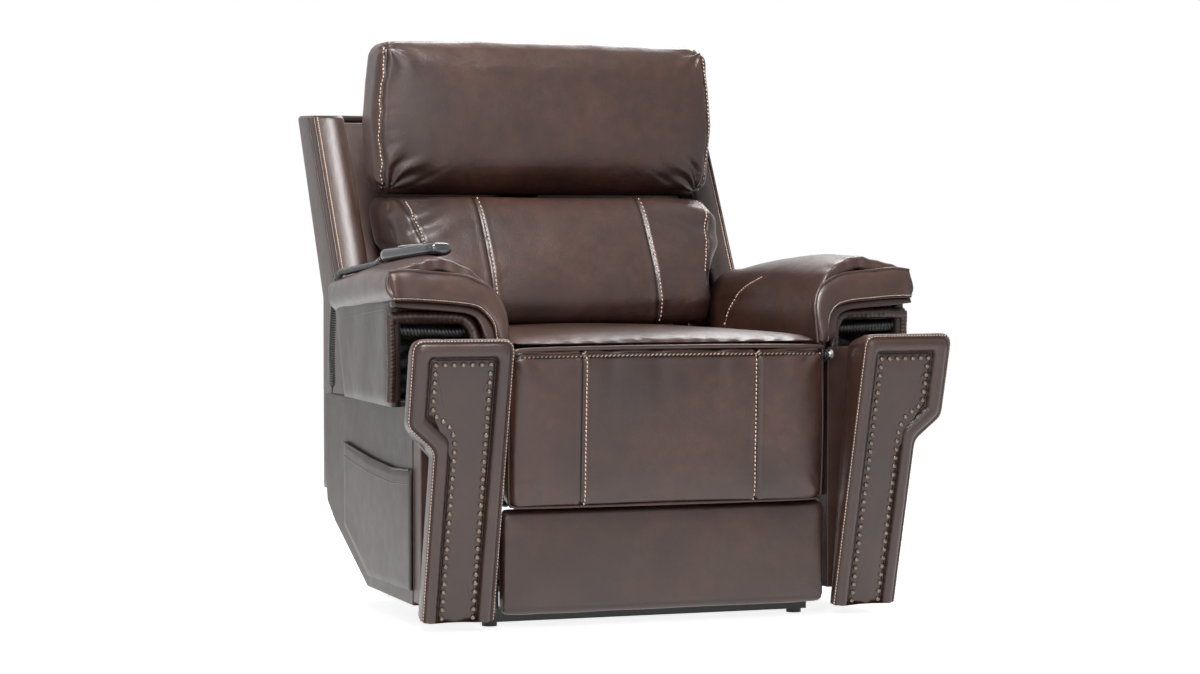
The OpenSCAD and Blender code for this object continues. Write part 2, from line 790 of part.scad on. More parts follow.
module footrest_board() {
    wood() union() {
        block(-270, 270, board_y0, board_y1, 212, 440);
        both() block(270, chaise_half_w + 1, board_y0, board_y1, 400, 440);
    }
    steel() both() {
        difference() {
            side_view(board_ear_x, plate_t) link_2d([board_pin, [board_y1 + 6, board_pin[1]]], 9);
            rod_x(board_pin, board_ear_x - 1, board_ear_x + plate_t + 1, 5);
        }
        rod_x(board_pin, board_ear_x, lower_leg_x + plate_t + 1, 5);
        difference() {
            block(138, 192, board_y1, board_y1 + 14, 240, 320);
            block(149.4, 180.6, board_y1 + 0.9, board_y1 + 6.1, 239, 321);
        }
        difference() {
            side_view(chaise_half_w + 1, 4)
                link_2d([chaise_pivot, [board_y1 - 9, 431]], 9);
            rod_x(chaise_pivot, chaise_half_w, inner_wall_x, 5 + pin_gap);
        }
    }
}

module chaise_pad() {
    rear = board_y0 - soft_gap;
    front_top = rear - chaise_t - 6;
    front_low = rear - chaise_t + 8;
    top_z = 472;
    a = chaise_half_w;
    b = (top_z - chaise_bottom) / 2;
    leather() loft([for (j = [0 : 6])
        let (u = j / 6, e = 16 * (1 - cos(90 * (1 - u))) * (u < 1 ? 1 : 0), back = 1 - u)
        [for (p = round_rect(a - 14 * pow(u, 6), b - 10 * pow(u, 6), 26))
            let (zc = (top_z + chaise_bottom) / 2 + p[1],
                face = front_low + (front_top - front_low) * (zc - chaise_bottom) / (top_z - chaise_bottom))
            [p[0], rear + (face - rear) * min(1, 1 - pow(back, 1.6)), zc]]]);
}

module ottoman_panel() {
    top = chaise_bottom - 7;
    leather() translate([0, -345 - ottoman_t / 2, (top + ottoman_bottom) / 2])
        pillow(ottoman_half_w, (top - ottoman_bottom) / 2, ottoman_t, 16, 6);
}

module ottoman_slides() {
    steel() both() {
        block(150, 180, board_y1 + 1.5, board_y1 + 5.5, 60, 330);
        block(150, 180, -345, board_y1 + 5.5, 60, 180);
    }
}

module footrest_upper_links() {
    steel() union() {
        both() difference() {
            side_view(upper_leg_x, plate_t) link_2d([leg_pivot, knee], 9);
            rod_x(leg_pivot, upper_leg_x - 1, upper_leg_x + plate_t + 1, pin_r + pin_gap);
        }
        both() rod_x(knee, lower_leg_x - 1, upper_leg_x, 5);
    }
}

module footrest_lower_links() {
    steel() both() difference() {
        side_view(lower_leg_x, plate_t) link_2d([board_pin, knee], 9);
        rod_x(board_pin, lower_leg_x - 1, lower_leg_x + plate_t + 1, 5 + pin_gap);
        rod_x(knee, lower_leg_x - 1, lower_leg_x + plate_t + 1, 5.5);
    }
}

base_rail(-1);  // base_rail_left
base_rail(1);  // base_rail_right
base_front_bar();
base_rear_bar();
floor_glides();
base_lugs();
lift_motor();
power_box();
lift_arm(-1);  // lift_arm_left
lift_arm(1);  // lift_arm_right
lift_cross_tube();
front_link(-1);  // front_link_left
front_link(1);  // front_link_right
lift_rod();
mech_plate(-1);  // mech_plate_left
mech_plate(1);  // mech_plate_right
mech_pins();
front_cross_rail();
rear_cross_rail();
seat_springs();
seat_cushion();
recline_motor();
arm_front_boards();
side_panel(-1);  // side_panel_left
side_panel(1);  // side_panel_right
arm_box(-1);  // arm_box_left
arm_box(1);  // arm_box_right
arm_pad(-1);  // arm_pad_left
arm_pad(1);  // arm_pad_right
recess_linings();
post(-1);  // post_left
post(1);  // post_right
nail_heads();
side_pockets();
control_box();
handset_base();
handset_cover();
handset_cord();
recline_rod();
back_brackets();
back_frame();
inner_back_panel();
wing(-1);  // wing_left
wing(1);  // wing_right
outer_back_panel();
back_cushion();
headrest_motor();
headrest_plate();
headrest_cushion();
footrest_board();
chaise_pad();
ottoman_panel();
ottoman_slides();
footrest_upper_links();
footrest_lower_links();
key(0);  // key_one
key(1);  // key_two
key(2);  // key_three
key(3);  // key_four
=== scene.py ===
import math

import bmesh
import bpy
import numpy as np
from mathutils import Matrix, Vector, noise
from mathutils.bvhtree import BVHTree


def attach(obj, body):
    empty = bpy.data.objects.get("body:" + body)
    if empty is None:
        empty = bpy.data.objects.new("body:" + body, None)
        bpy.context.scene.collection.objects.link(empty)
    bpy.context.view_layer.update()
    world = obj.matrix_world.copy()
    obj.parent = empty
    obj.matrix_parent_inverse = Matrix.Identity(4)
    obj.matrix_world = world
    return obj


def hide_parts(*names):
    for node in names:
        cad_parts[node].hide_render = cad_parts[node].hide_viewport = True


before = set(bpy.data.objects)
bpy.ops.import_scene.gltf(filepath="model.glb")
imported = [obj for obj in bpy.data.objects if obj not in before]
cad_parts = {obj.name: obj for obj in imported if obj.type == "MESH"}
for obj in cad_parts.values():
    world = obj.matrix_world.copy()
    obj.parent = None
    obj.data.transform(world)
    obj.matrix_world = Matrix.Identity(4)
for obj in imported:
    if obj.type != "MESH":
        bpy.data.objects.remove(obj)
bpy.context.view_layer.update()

# Places are in millimetres, as the part's own numbers are, and turn into metres in the meshes.
MM = 0.001
SIDES = (("left", -1), ("right", 1))
scene = bpy.context.scene
scene.view_settings.view_transform = "Standard"


def new_object(name, data):
    obj = bpy.data.objects.new(name, data)
    scene.collection.objects.link(obj)
    return obj


# ---- camera ----

def make_camera():
    lens_of_view = bpy.data.cameras.new("view")
    lens_of_view.lens, lens_of_view.sensor_width = 99, 36
    lens_of_view.clip_end = 60
    camera = new_object("view", lens_of_view)
    right = Vector((0.92934, -0.36923, 0.00027))
    up = Vector((0.01135, 0.02929, 0.99951))
    back = -Vector((0.36906, 0.92888, -0.03141))
    place = Vector((-2176.9, -5544.2, 667.4)) * MM
    camera.matrix_world = Matrix([(right[i], up[i], back[i], place[i]) for i in range(3)] + [(0, 0, 0, 1)])
    scene.camera = camera


make_camera()


# ---- shared mesh work ----

def finish_piece(name, bm, finish, body, replaces=(), smooth=True, recalc=False):
    """The piece as an object that rides on a body, with its finish."""
    if recalc:
        bm.normal_update()
        bmesh.ops.recalc_face_normals(bm, faces=bm.faces)
    mesh = bpy.data.meshes.new(name)
    bm.to_mesh(mesh)
    bm.free()
    obj = new_object(name, mesh)
    for polygon in mesh.polygons:
        polygon.use_smooth = smooth
    mesh.materials.append(finish)
    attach(obj, body)
    if replaces:
        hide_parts(*replaces)
    return obj


def sleeve(n, m, point, caps=True):
    """A drum of n points round and m rows along, each moved to point(a, t), with a and t from 0 to 1."""
    bm = bmesh.new()
    bmesh.ops.create_cone(bm, cap_ends=caps, segments=n, radius1=1, radius2=1, depth=2)
    sides = [e for e in bm.edges if abs(e.verts[0].co.z - e.verts[1].co.z) > 1]
    bmesh.ops.subdivide_edges(bm, edges=sides, cuts=m - 1, use_grid_fill=True)
    for v in bm.verts:
        a = round(math.atan2(v.co.y, v.co.x) / math.tau * n) % n
        t = round((v.co.z + 1) / 2 * m)
        v.co = Vector(point(a / n, t / m)) * MM
    return bm


def block_grid(counts, point):
    """A cube cut into a grid, each vertex moved to point(u, v, w), each from -1 to 1."""
    bm = bmesh.new()
    bmesh.ops.create_cube(bm, size=2)
    for axis, count in enumerate(counts):
        edges = [e for e in bm.edges if abs(e.verts[0].co[axis] - e.verts[1].co[axis]) > 1.5]
        if count > 1:
            bmesh.ops.subdivide_edges(bm, edges=edges, cuts=count - 1, use_grid_fill=True)
    for v in bm.verts:
        v.co = Vector(point(*v.co)) * MM
    return bm


def slab(outline, x0, x1, bevel=4, segments=3):
    """An outline in Y and Z, drawn out from x0 to x1, with its edges rounded."""
    bm = bmesh.new()
    verts = [bm.verts.new(Vector((x0, y, z)) * MM) for y, z in outline]
    face = bm.faces.new(verts)
    drawn = bmesh.ops.extrude_face_region(bm, geom=[face])["geom"]
    moved = [g for g in drawn if isinstance(g, bmesh.types.BMVert)]
    bmesh.ops.translate(bm, verts=moved, vec=Vector((x1 - x0, 0, 0)) * MM)
    bmesh.ops.recalc_face_normals(bm, faces=bm.faces)
    if bevel:
        round_edges(bm, bevel, segments)
    return bm


def round_edges(bm, width, segments=3):
    sharp = [e for e in bm.edges if len(e.link_faces) == 2 and e.calc_face_angle() > 0.35]
    bmesh.ops.bevel(bm, geom=sharp, offset=width * MM, segments=segments, profile=0.5, affect="EDGES",
                    material=-1, clamp_overlap=True)


def box_piece(x, y, z, bevel=4):
    """A board from its ranges along X, Y and Z."""
    return slab([(y[0], z[0]), (y[1], z[0]), (y[1], z[1]), (y[0], z[1])], x[0], x[1], bevel)


def joined(parts):
    """Several bmeshes as one."""
    bm = bmesh.new()
    for part in parts:
        mesh = bpy.data.meshes.new("join")
        part.to_mesh(mesh)
        part.free()
        bm.from_mesh(mesh)
        bpy.data.meshes.remove(mesh)
    return bm


def level_faces(obj):
    """Large flat faces keep a flat look beside their rounded edges."""
    weighted = obj.modifiers.new("level faces", "WEIGHTED_NORMAL")
    weighted.weight, weighted.keep_sharp = 80, False
    return obj


def curve_through(points, count):
    """The points as a smooth line of evenly spaced places."""
    pts = np.array(points, float)
    ext = np.vstack([2 * pts[0] - pts[1], pts, 2 * pts[-1] - pts[-2]])
    out = []
    for i in range(1, len(ext) - 2):
        p0, p1, p2, p3 = ext[i - 1:i + 3]
        for t in np.linspace(0, 1, 24, endpoint=False):
            out.append(0.5 * (2 * p1 + (p2 - p0) * t + (2 * p0 - 5 * p1 + 4 * p2 - p3) * t * t
                              + (3 * p1 - p0 - 3 * p2 + p3) * t ** 3))
    out.append(ext[-2])
    return even(out, count)


def run_of(points):
    """How far along the line each of its points lies."""
    return np.concatenate([[0], np.cumsum(np.linalg.norm(np.diff(points, axis=0), axis=1))])


def in_metres(points):
    return [tuple(c * MM for c in p) for p in points]


def even(points, count):
    """The line again, as count evenly spaced points."""
    pts = np.array(points, float)
    far = run_of(pts)
    want = np.linspace(0, far[-1], count)
    return np.stack([np.interp(want, far, pts[:, k]) for k in range(pts.shape[1])], 1)


def length_of(points):
    return float(np.linalg.norm(np.diff(np.array(points, float), axis=0), axis=1).sum())


def evaluated_mesh(obj):
    """The object's mesh with its modifiers applied."""
    bpy.context.view_layer.update()
    graph = bpy.context.evaluated_depsgraph_get()
    return bpy.data.meshes.new_from_object(obj.evaluated_get(graph), preserve_all_data_layers=True,
                                           depsgraph=graph)


def settle(obj):
    """Applies all the modifiers."""
    mesh = evaluated_mesh(obj)
    old = obj.data
    obj.modifiers.clear()
    obj.data = mesh
    bpy.data.meshes.remove(old)


def refine(obj):
    """One finer level of the surface, applied and shaded smooth."""
    finer = obj.modifiers.new("finer", "SUBSURF")
    finer.levels = finer.render_levels = 1
    settle(obj)
    for polygon in obj.data.polygons:
        polygon.use_smooth = True


def per_vertex(obj, value):
    out = np.empty(len(obj.data.vertices) * 3)
    obj.data.vertices.foreach_get(value, out)
    return out.reshape(-1, 3)


def set_coordinates(obj, co):
    obj.data.vertices.foreach_set("co", np.ascontiguousarray(co, float).ravel())
    obj.data.update()


# ---- padding ----

def puff(obj, held, cap, voxel=6.0, pressure=4.0):
    """Blows the pad up like a filled cover.

    held(points) gives from 0 to 1 how firmly each point is sewn down.
    """
    skin = obj.modifiers.new("skin", "REMESH")
    skin.mode, skin.voxel_size, skin.use_smooth_shade = "VOXEL", voxel * MM, True
    settle(obj)
    start = per_vertex(obj, "co")
    firm = np.clip(held(start / MM), 0, 1)
    group = obj.vertex_groups.new(name="sewn")
    for level in range(1, 11):
        chosen = np.nonzero(np.round(firm * 10) == level)[0]
        if len(chosen):
            group.add(chosen.tolist(), level / 10, "REPLACE")
    fill = obj.modifiers.new("fill", "CLOTH")
    cover = fill.settings
    cover.quality, cover.mass = 5, 0.3
    cover.tension_stiffness = cover.compression_stiffness = 15
    cover.shear_stiffness, cover.bending_stiffness = 5, 0.6
    cover.use_pressure, cover.uniform_pressure_force = True, pressure
    cover.effector_weights.gravity = 0
    cover.vertex_group_mass = "sewn"
    for step in range(1, 21):
        scene.frame_set(step)
    shown = obj.evaluated_get(bpy.context.evaluated_depsgraph_get())
    move = per_vertex(shown, "co") - start
    far = np.linalg.norm(move, axis=1, keepdims=True) + 1e-9
    limit = cap * MM
    move *= limit * np.tanh(far / limit) / far
    obj.modifiers.clear()
    scene.frame_set(1)
    set_coordinates(obj, start + move)
    refine(obj)
    obj.vertex_groups.clear()
    return obj


def sew(obj, seams):
    """Presses seams into a pad, and marks each groove for the painted shade that darkens it. Each is
    (distance function, depth, half width of the groove).
    """
    co = per_vertex(obj, "co")
    out = per_vertex(obj, "normal")
    crease_shade = np.zeros(len(co))
    move = np.zeros(len(co))
    for distance, depth, width in seams:
        d = distance(co / MM)
        move -= depth * np.exp(-(d / width) ** 2)
        move += 0.22 * depth * np.exp(-((d - 2.6 * width) / (1.5 * width)) ** 2)
        crease_shade = np.maximum(crease_shade, np.exp(-(d / (1.1 * width)) ** 2))
    set_coordinates(obj, co + out * move[:, None] * MM)
    mark_crease_shade(obj, crease_shade)
    return obj


# Painted shade: stores for each point how much the leather is darkened there, as shade in pressed grooves.
def mark_crease_shade(obj, crease_shade):
    layer = obj.data.attributes.get("crease_shade") or obj.data.attributes.new("crease_shade", "FLOAT", "POINT")
    layer.data.foreach_set("value", crease_shade.astype(np.float32))


def ripple(obj, amount):
    """Moves each point outwards by amount(points), in millimetres."""
    co = per_vertex(obj, "co")
    set_coordinates(obj, co + per_vertex(obj, "normal") * amount(co / MM)[:, None] * MM)
    return obj


def wobble(points, scale, seed):
    """Smooth uneven values from about -1 to 1, the same at each run."""
    return np.array([noise.noise(Vector(p) * scale + Vector((seed, 0, 0))) for p in points])


def near(value, line, width):
    return np.exp(-((value - line) / width) ** 2)


# ---- seams, threads and piping ----

CAST_START = 0.12  # metres before its target where a cast line starts
FROM_FRONT = (0, 1, 0)
NO_GROOVE = 99.0  # a distance at which a seam presses nothing


def tree_of(obj):
    bm = bmesh.new()
    bm.from_mesh(obj.data)
    tree = BVHTree.FromBMesh(bm)
    bm.free()
    return tree


def traced(surface, points, step, aim=None):
    """Places, normals and directions along a line on a surface.

    aim casts along a direction. Without it the nearest place counts.
    """
    tree = tree_of(surface)
    line = even(points, max(3, int(length_of(points) / step) + 1))
    found = []
    for p in line:
        start = Vector(p) * MM
        if aim is None:
            place, normal = tree.find_nearest(start)[:2]
        else:
            way = Vector(aim).normalized()
            place, normal = tree.ray_cast(start - way * CAST_START, way)[:2]
            if place is None:
                place, normal = tree.find_nearest(start)[:2]
        found.append((place, normal))
    result = []
    for i, (place, normal) in enumerate(found):
        along = found[min(i + 1, len(found) - 1)][0] - found[max(i - 1, 0)][0]
        if along.length > 1e-7:
            result.append((place, normal, along.normalized()))
    return result


def stitches(name, surface, lines, body, aim=None, pitch=7.2, long=6.2, thick=1.25, shift=0.0, lean=0.12):
    """Contrast thread: one short raised stitch after another along each line."""
    bm = bmesh.new()
    for points in lines:
        for place, normal, along in traced(surface, points, pitch, aim):
            across = normal.cross(along).normalized()
            turned = (along + across * lean).normalized()
            side = normal.cross(turned).normalized()
            centre = place + across * shift * MM + normal * thick * 0.35 * MM
            axes = Matrix([(turned[i] * long / 2 * MM, side[i] * thick * MM, normal[i] * thick * MM,
                            centre[i])
                           for i in range(3)] + [(0, 0, 0, 1)])
            bmesh.ops.create_icosphere(bm, subdivisions=1, radius=1, matrix=axes)
    return finish_piece(name, bm, THREAD, body, recalc=True)


def tube_curve(name, places, radius, resolution):
    """A round tube through places given in metres, as a curve."""
    curve = bpy.data.curves.new(name, "CURVE")
    curve.dimensions = "3D"
    curve.bevel_depth, curve.bevel_resolution = radius * MM, resolution
    curve.use_fill_caps = True
    spline = curve.splines.new("POLY")
    spline.points.add(len(places) - 1)
    for point, place in zip(spline.points, places):
        point.co = (*place, 1)
    return curve


def cordage(name, places, radius, finish, body):
    """A round tube through places given in metres, as a piece."""
    holder = new_object(name + "_line", tube_curve(name, places, radius, 2))
    bpy.context.view_layer.update()
    mesh = bpy.data.meshes.new_from_object(holder.evaluated_get(bpy.context.evaluated_depsgraph_get()))
    bpy.data.objects.remove(holder)
    bm = bmesh.new()
    bm.from_mesh(mesh)
    bpy.data.meshes.remove(mesh)
    return finish_piece(name, bm, finish, body, recalc=True)


def piping(name, surface, points, radius, finish, body, aim=None, lift=0.3, step=6):
    places = [place + normal * radius * lift * MM for place, normal,
              _ in traced(surface, points, step, aim)]
    return cordage(name, places, radius, finish, body)


# ---- finishes ----

def group_of(name, inputs, outputs):
    group = bpy.data.node_groups.new(name, "ShaderNodeTree")
    for label, kind, value in inputs:
        socket = group.interface.new_socket(label, in_out="INPUT", socket_type=kind)
        socket.default_value = value
    for label, kind in outputs:
        group.interface.new_socket(label, in_out="OUTPUT", socket_type=kind)
    return group, group.nodes.new("NodeGroupInput"), group.nodes.new("NodeGroupOutput")


def feed(tree, value, socket):
    """Links a socket to an input, or gives the input its own value."""
    if isinstance(value, bpy.types.NodeSocket):
        tree.links.new(value, socket)
    else:
        socket.default_value = value


def node(tree, kind, links=None, **settings):
    """A node with its settings, its inputs set from numbers or linked from sockets."""
    made = tree.nodes.new(kind)
    for key, value in settings.items():
        setattr(made, key, value)
    for key, value in (links or {}).items():
        feed(tree, value, made.inputs[key])
    return made


def mixed(tree, factor, a, b, blend="MIX"):
    mix = tree.nodes.new("ShaderNodeMix")
    mix.data_type, mix.blend_type = "RGBA", blend
    for index, value in ((0, factor), (6, a), (7, b)):
        feed(tree, value, mix.inputs[index])
    return mix.outputs[2]


def maths(tree, operation, a, b=0.0, c=None, clamp=False):
    made = tree.nodes.new("ShaderNodeMath")
    made.operation, made.use_clamp = operation, clamp
    for index, value in enumerate((a, b, c)):
        if value is not None:
            feed(tree, value, made.inputs[index])
    return made.outputs[0]


def hide_group():
    """Leather: mottled colour, painted shade in pressed seam grooves, pebble grain, fine creases and soft
    unevenness.
    """
    group, given, out = group_of(
        "hide",
        [("Dark", "NodeSocketColor", (0.03, 0.012, 0.008, 1)),
         ("Warm", "NodeSocketColor", (0.08, 0.03, 0.017, 1)),
         ("Grain", "NodeSocketFloat", 1.0), ("Gloss", "NodeSocketFloat", 0.4)],
        [("Color", "NodeSocketColor"), ("Roughness", "NodeSocketFloat"), ("Normal", "NodeSocketVector")])
    place = node(group, "ShaderNodeTexCoord").outputs["Object"]
    broad = node(group, "ShaderNodeTexNoise",
                 {"Vector": place, "Scale": 5.5, "Detail": 3, "Roughness": 0.55})
    blot = node(group, "ShaderNodeTexNoise", {"Vector": place, "Scale": 38, "Detail": 5, "Roughness": 0.65})
    warmth = maths(group, "MULTIPLY_ADD", broad.outputs["Fac"], 2.6, -0.85, clamp=True)
    flecks = maths(group, "MULTIPLY_ADD", blot.outputs["Fac"], 1.6, -0.3, clamp=True)
    tone = mixed(group, maths(group, "MULTIPLY", warmth, flecks), given.outputs["Dark"],
                 given.outputs["Warm"])
    # Painted shade: points marked in the pressed seam grooves are darkened towards near black.
    crease_shade = node(group, "ShaderNodeAttribute", attribute_name="crease_shade").outputs["Fac"]
    tone = mixed(group, maths(group, "MULTIPLY", crease_shade, 0.75), tone, (0.006, 0.003, 0.002, 1))
    group.links.new(tone, out.inputs["Color"])
    gloss = maths(group, "SUBTRACT", given.outputs["Gloss"], 0.08)
    rough = maths(group, "MULTIPLY_ADD", blot.outputs["Fac"], 0.16, gloss)
    group.links.new(rough, out.inputs["Roughness"])
    pebble = node(group, "ShaderNodeTexVoronoi", {"Vector": place, "Scale": 620, "Randomness": 1.0},
                  feature="SMOOTH_F1")
    fine = node(group, "ShaderNodeTexNoise", {"Vector": place, "Scale": 1500, "Detail": 2})
    lines = node(group, "ShaderNodeTexNoise", {"Vector": place, "Scale": 90, "Detail": 6, "Roughness": 0.7,
                                               "Distortion": 0.6})
    soft = node(group, "ShaderNodeTexNoise", {"Vector": place, "Scale": 9, "Detail": 2})
    height = maths(group, "ADD", maths(group, "MULTIPLY", pebble.outputs["Distance"], 0.35),
                   maths(group, "MULTIPLY", fine.outputs["Fac"], 0.25))
    height = maths(group, "ADD", height, maths(group, "MULTIPLY", lines.outputs["Fac"], 0.9))
    grain = node(group, "ShaderNodeBump", {"Height": height, "Distance": 0.0006,
                                           "Strength": given.outputs["Grain"]})
    uneven = node(group, "ShaderNodeBump",
                  {"Height": soft.outputs["Fac"], "Distance": 0.012, "Strength": 0.25,
                                            "Normal": grain.outputs["Normal"]})
    group.links.new(uneven.outputs["Normal"], out.inputs["Normal"])
    return group


HIDE = hide_group()


def new_material(name, rough=0.5, metallic=0.0, coat=0.0, specular=0.5):
    material = bpy.data.materials.new(name)
    material.use_nodes = True
    shader = material.node_tree.nodes["Principled BSDF"]
    shader.inputs["Roughness"].default_value = rough
    shader.inputs["Metallic"].default_value = metallic
    shader.inputs["Coat Weight"].default_value = coat
    shader.inputs["Specular IOR Level"].default_value = specular
    return material, material.node_tree, shader


def grouped(name, group, values, **shader_values):
    """A material whose colour, roughness and normal come from a node group."""
    material, tree, shader = new_material(name, **shader_values)
    made = node(tree, "ShaderNodeGroup", node_tree=group)
    for label, value in values.items():
        made.inputs[label].default_value = value
    for label, socket in (("Color", "Base Color"), ("Roughness", "Roughness"), ("Normal", "Normal")):
        tree.links.new(made.outputs[label], shader.inputs[socket])
    return material


def leather(name, dark, warm, gloss, grain=0.55, specular=0.5):
    values = {"Dark": (*dark, 1), "Warm": (*warm, 1), "Grain": grain, "Gloss": gloss}
    return grouped(name, HIDE, values, specular=specular)


def surface_group():
    """Small unevenness, rubbed spots and dust for metal and plastic."""
    group, given, out = group_of(
        "worked surface",
        [("Base", "NodeSocketColor", (0.05, 0.05, 0.05, 1)),
         ("Worn", "NodeSocketColor", (0.1, 0.1, 0.1, 1)),
         ("Roughness", "NodeSocketFloat", 0.4), ("Scale", "NodeSocketFloat", 60.0),
         ("Depth", "NodeSocketFloat", 0.2)],
        [("Color", "NodeSocketColor"), ("Roughness", "NodeSocketFloat"), ("Normal", "NodeSocketVector")])
    place = node(group, "ShaderNodeTexCoord").outputs["Object"]
    patch = node(group, "ShaderNodeTexNoise",
                 {"Vector": place, "Scale": given.outputs["Scale"], "Detail": 6})
    speck = node(group, "ShaderNodeTexNoise", {"Vector": place, "Scale": 900, "Detail": 3})
    share = maths(group, "MULTIPLY_ADD", patch.outputs["Fac"], 2.2, -0.7, clamp=True)
    group.links.new(mixed(group, share, given.outputs["Base"], given.outputs["Worn"]), out.inputs["Color"])
    rough = maths(group, "MULTIPLY_ADD", patch.outputs["Fac"], 0.15, given.outputs["Roughness"])
    group.links.new(rough, out.inputs["Roughness"])
    bump = node(group, "ShaderNodeBump", {"Height": speck.outputs["Fac"], "Distance": 0.0004,
                                          "Strength": given.outputs["Depth"]})
    group.links.new(bump.outputs["Normal"], out.inputs["Normal"])
    return group


SURFACE = surface_group()


def worked(name, base, worn, rough, metallic=0.0, coat=0.0, scale=60.0, depth=0.2):
    values = {"Base": (*base, 1), "Worn": (*worn, 1), "Roughness": rough, "Scale": scale, "Depth": depth}
    return grouped(name, SURFACE, values, metallic=metallic, coat=coat)


def pine():
    material, tree, shader = new_material("pine frame", rough=0.6)
    place = node(tree, "ShaderNodeTexCoord").outputs["Object"]
    turned = node(tree, "ShaderNodeMapping", {"Vector": place, "Scale": (1.5, 14, 14)})
    rings = node(tree, "ShaderNodeTexWave", {"Vector": turned.outputs[0], "Scale": 3.0, "Distortion": 5.0,
                                             "Detail": 4}, wave_type="BANDS", bands_direction="Z")
    tree.links.new(mixed(tree, rings.outputs["Fac"], (0.46, 0.28, 0.13, 1), (0.62, 0.42, 0.22, 1)),
                   shader.inputs["Base Color"])
    bump = node(tree, "ShaderNodeBump",
                {"Height": rings.outputs["Fac"], "Distance": 0.0005, "Strength": 0.4})
    tree.links.new(bump.outputs["Normal"], shader.inputs["Normal"])
    return material


LEATHER = leather("dark brown leather", (0.020, 0.0088, 0.0068), (0.072, 0.026, 0.0155), 0.34, 0.8, 0.48)
PANEL = leather("panel leather", (0.024, 0.0110, 0.0084), (0.056, 0.0235, 0.0156), 0.35, 0.7, 0.46)
SIDE = leather("matched side cover", (0.022, 0.0145, 0.0120), (0.036, 0.0215, 0.0168), 0.42, 0.5, 0.36)
WELT = leather("welt leather", (0.022, 0.010, 0.0075), (0.055, 0.023, 0.015), 0.34, 0.5, 0.42)
LINING = leather("black lining", (0.006, 0.005, 0.005), (0.010, 0.008, 0.008), 0.42, 0.9)
THREAD = worked("copper thread", (0.50, 0.31, 0.22), (0.70, 0.52, 0.42), 0.55, scale=300)
BRASS = worked("antique nail heads", (0.10, 0.072, 0.056), (0.22, 0.172, 0.138), 0.27, metallic=0.9,
               scale=260)
BLACK_STEEL = worked("black coated steel", (0.012, 0.012, 0.013), (0.03, 0.03, 0.032), 0.38, depth=0.35)
ZINC = worked("plated steel", (0.42, 0.42, 0.43), (0.6, 0.6, 0.6), 0.25, metallic=0.95, scale=90)
BLACK_PLASTIC = worked("moulded black plastic", (0.014, 0.014, 0.015), (0.026, 0.026, 0.028), 0.42,
                       depth=0.5)
GLOSSY = worked("glossy handset shell", (0.010, 0.011, 0.014), (0.018, 0.019, 0.023), 0.12, coat=0.6,
                depth=0.03)
# Painted highlight: this bright silver makes the line that stands in for the handset's rim highlight.
RIM_HIGHLIGHT_SILVER = worked("silver rim highlight", (0.45, 0.46, 0.48), (0.6, 0.6, 0.62), 0.2, metallic=0.8)
KEYS = worked("grey keys", (0.16, 0.165, 0.175), (0.22, 0.22, 0.23), 0.4)
CORD = worked("cord jacket", (0.010, 0.010, 0.011), (0.018, 0.018, 0.019), 0.28, coat=0.3, depth=0.1)
PINE = pine()
BROWN_BOARD = leather("covered board", (0.034, 0.016, 0.012), (0.060, 0.027, 0.018), 0.45, 0.5)


# ---- curly cord ----

CORD_ROUTE = [(-411.3, -92.6, 624.5), (-413.8, -82.9, 623.9), (-414, -72, 619), (-414, -45, 612.5),
              (-413, -15, 610), (-412, 20, 607.5), (-411, 60, 604.5), (-411, 100, 601.5), (-411, 130, 599),
              (-411, 152, 598.5), (-411, 168, 596), (-412, 180, 588), (-414, 187, 574), (-417, 188, 555),
              (-420, 186, 525), (-423, 183, 490), (-425, 180, 450), (-425, 178, 415), (-425, 178, 379)]
CORD_WIRE = 2.4
COIL_RADIUS = 5.4
COIL_PITCH = 4.3
CORD_TURN_POINTS = 14


def make_cord():
    spine = curve_through(CORD_ROUTE, 500)
    far = run_of(spine)
    whole = far[-1]
    straight, ramp = 7.0, 9.0
    turns = (whole - 2 * straight) / COIL_PITCH
    count = int(turns * CORD_TURN_POINTS)
    places = [spine[0]]
    side = Vector((1, 0, 0))
    for i in range(count + 1):
        s = straight + (whole - 2 * straight) * i / count
        place = Vector([np.interp(s, far, spine[:, k]) for k in range(3)])
        ahead = Vector([np.interp(min(s + 2, whole), far, spine[:, k]) for k in range(3)])
        behind = Vector([np.interp(max(s - 2, 0), far, spine[:, k]) for k in range(3)])
        along = (ahead - behind).normalized()
        side = (side - along * side.dot(along)).normalized()
        up = along.cross(side)
        reach = COIL_RADIUS * min(1, (s - straight) / ramp + 0.02, (whole - straight - s) / ramp + 0.02)
        angle = math.tau * turns * i / count
        places.append(tuple(place + (side * math.cos(angle) + up * math.sin(angle)) * reach))
    places.append(spine[-1])
    curve = tube_curve("handset_curly_cord", in_metres(places), CORD_WIRE / 2, 1)
    cord = new_object("handset_curly_cord", curve)
    curve.materials.append(CORD)
    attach(cord, "chair")
    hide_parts("handset_cord")


make_cord()


# ---- shared shapes ----

def rounded(q, half, radius):
    """A point of a box with rounded edges, q from -1 to 1 along each axis."""
    place = np.array([q[i] * half[i] for i in range(3)])
    inner = np.clip(place, -(np.array(half) - radius), np.array(half) - radius)
    out = place - inner
    far = np.linalg.norm(out)
    return inner + out / far * radius if far > 1e-9 else place


def rounded_plan(u, v, half_x, half_y, radius):
    """A point of a rounded rectangle; places inside it stay inside."""
    place = np.array([u * half_x, v * half_y])
    inner = np.clip(place, -(np.array([half_x, half_y]) - radius), np.array([half_x, half_y]) - radius)
    out = place - inner
    far = np.linalg.norm(out)
    edge = max(abs(u), abs(v))
    return inner + out / far * radius * edge if far > 1e-9 else place


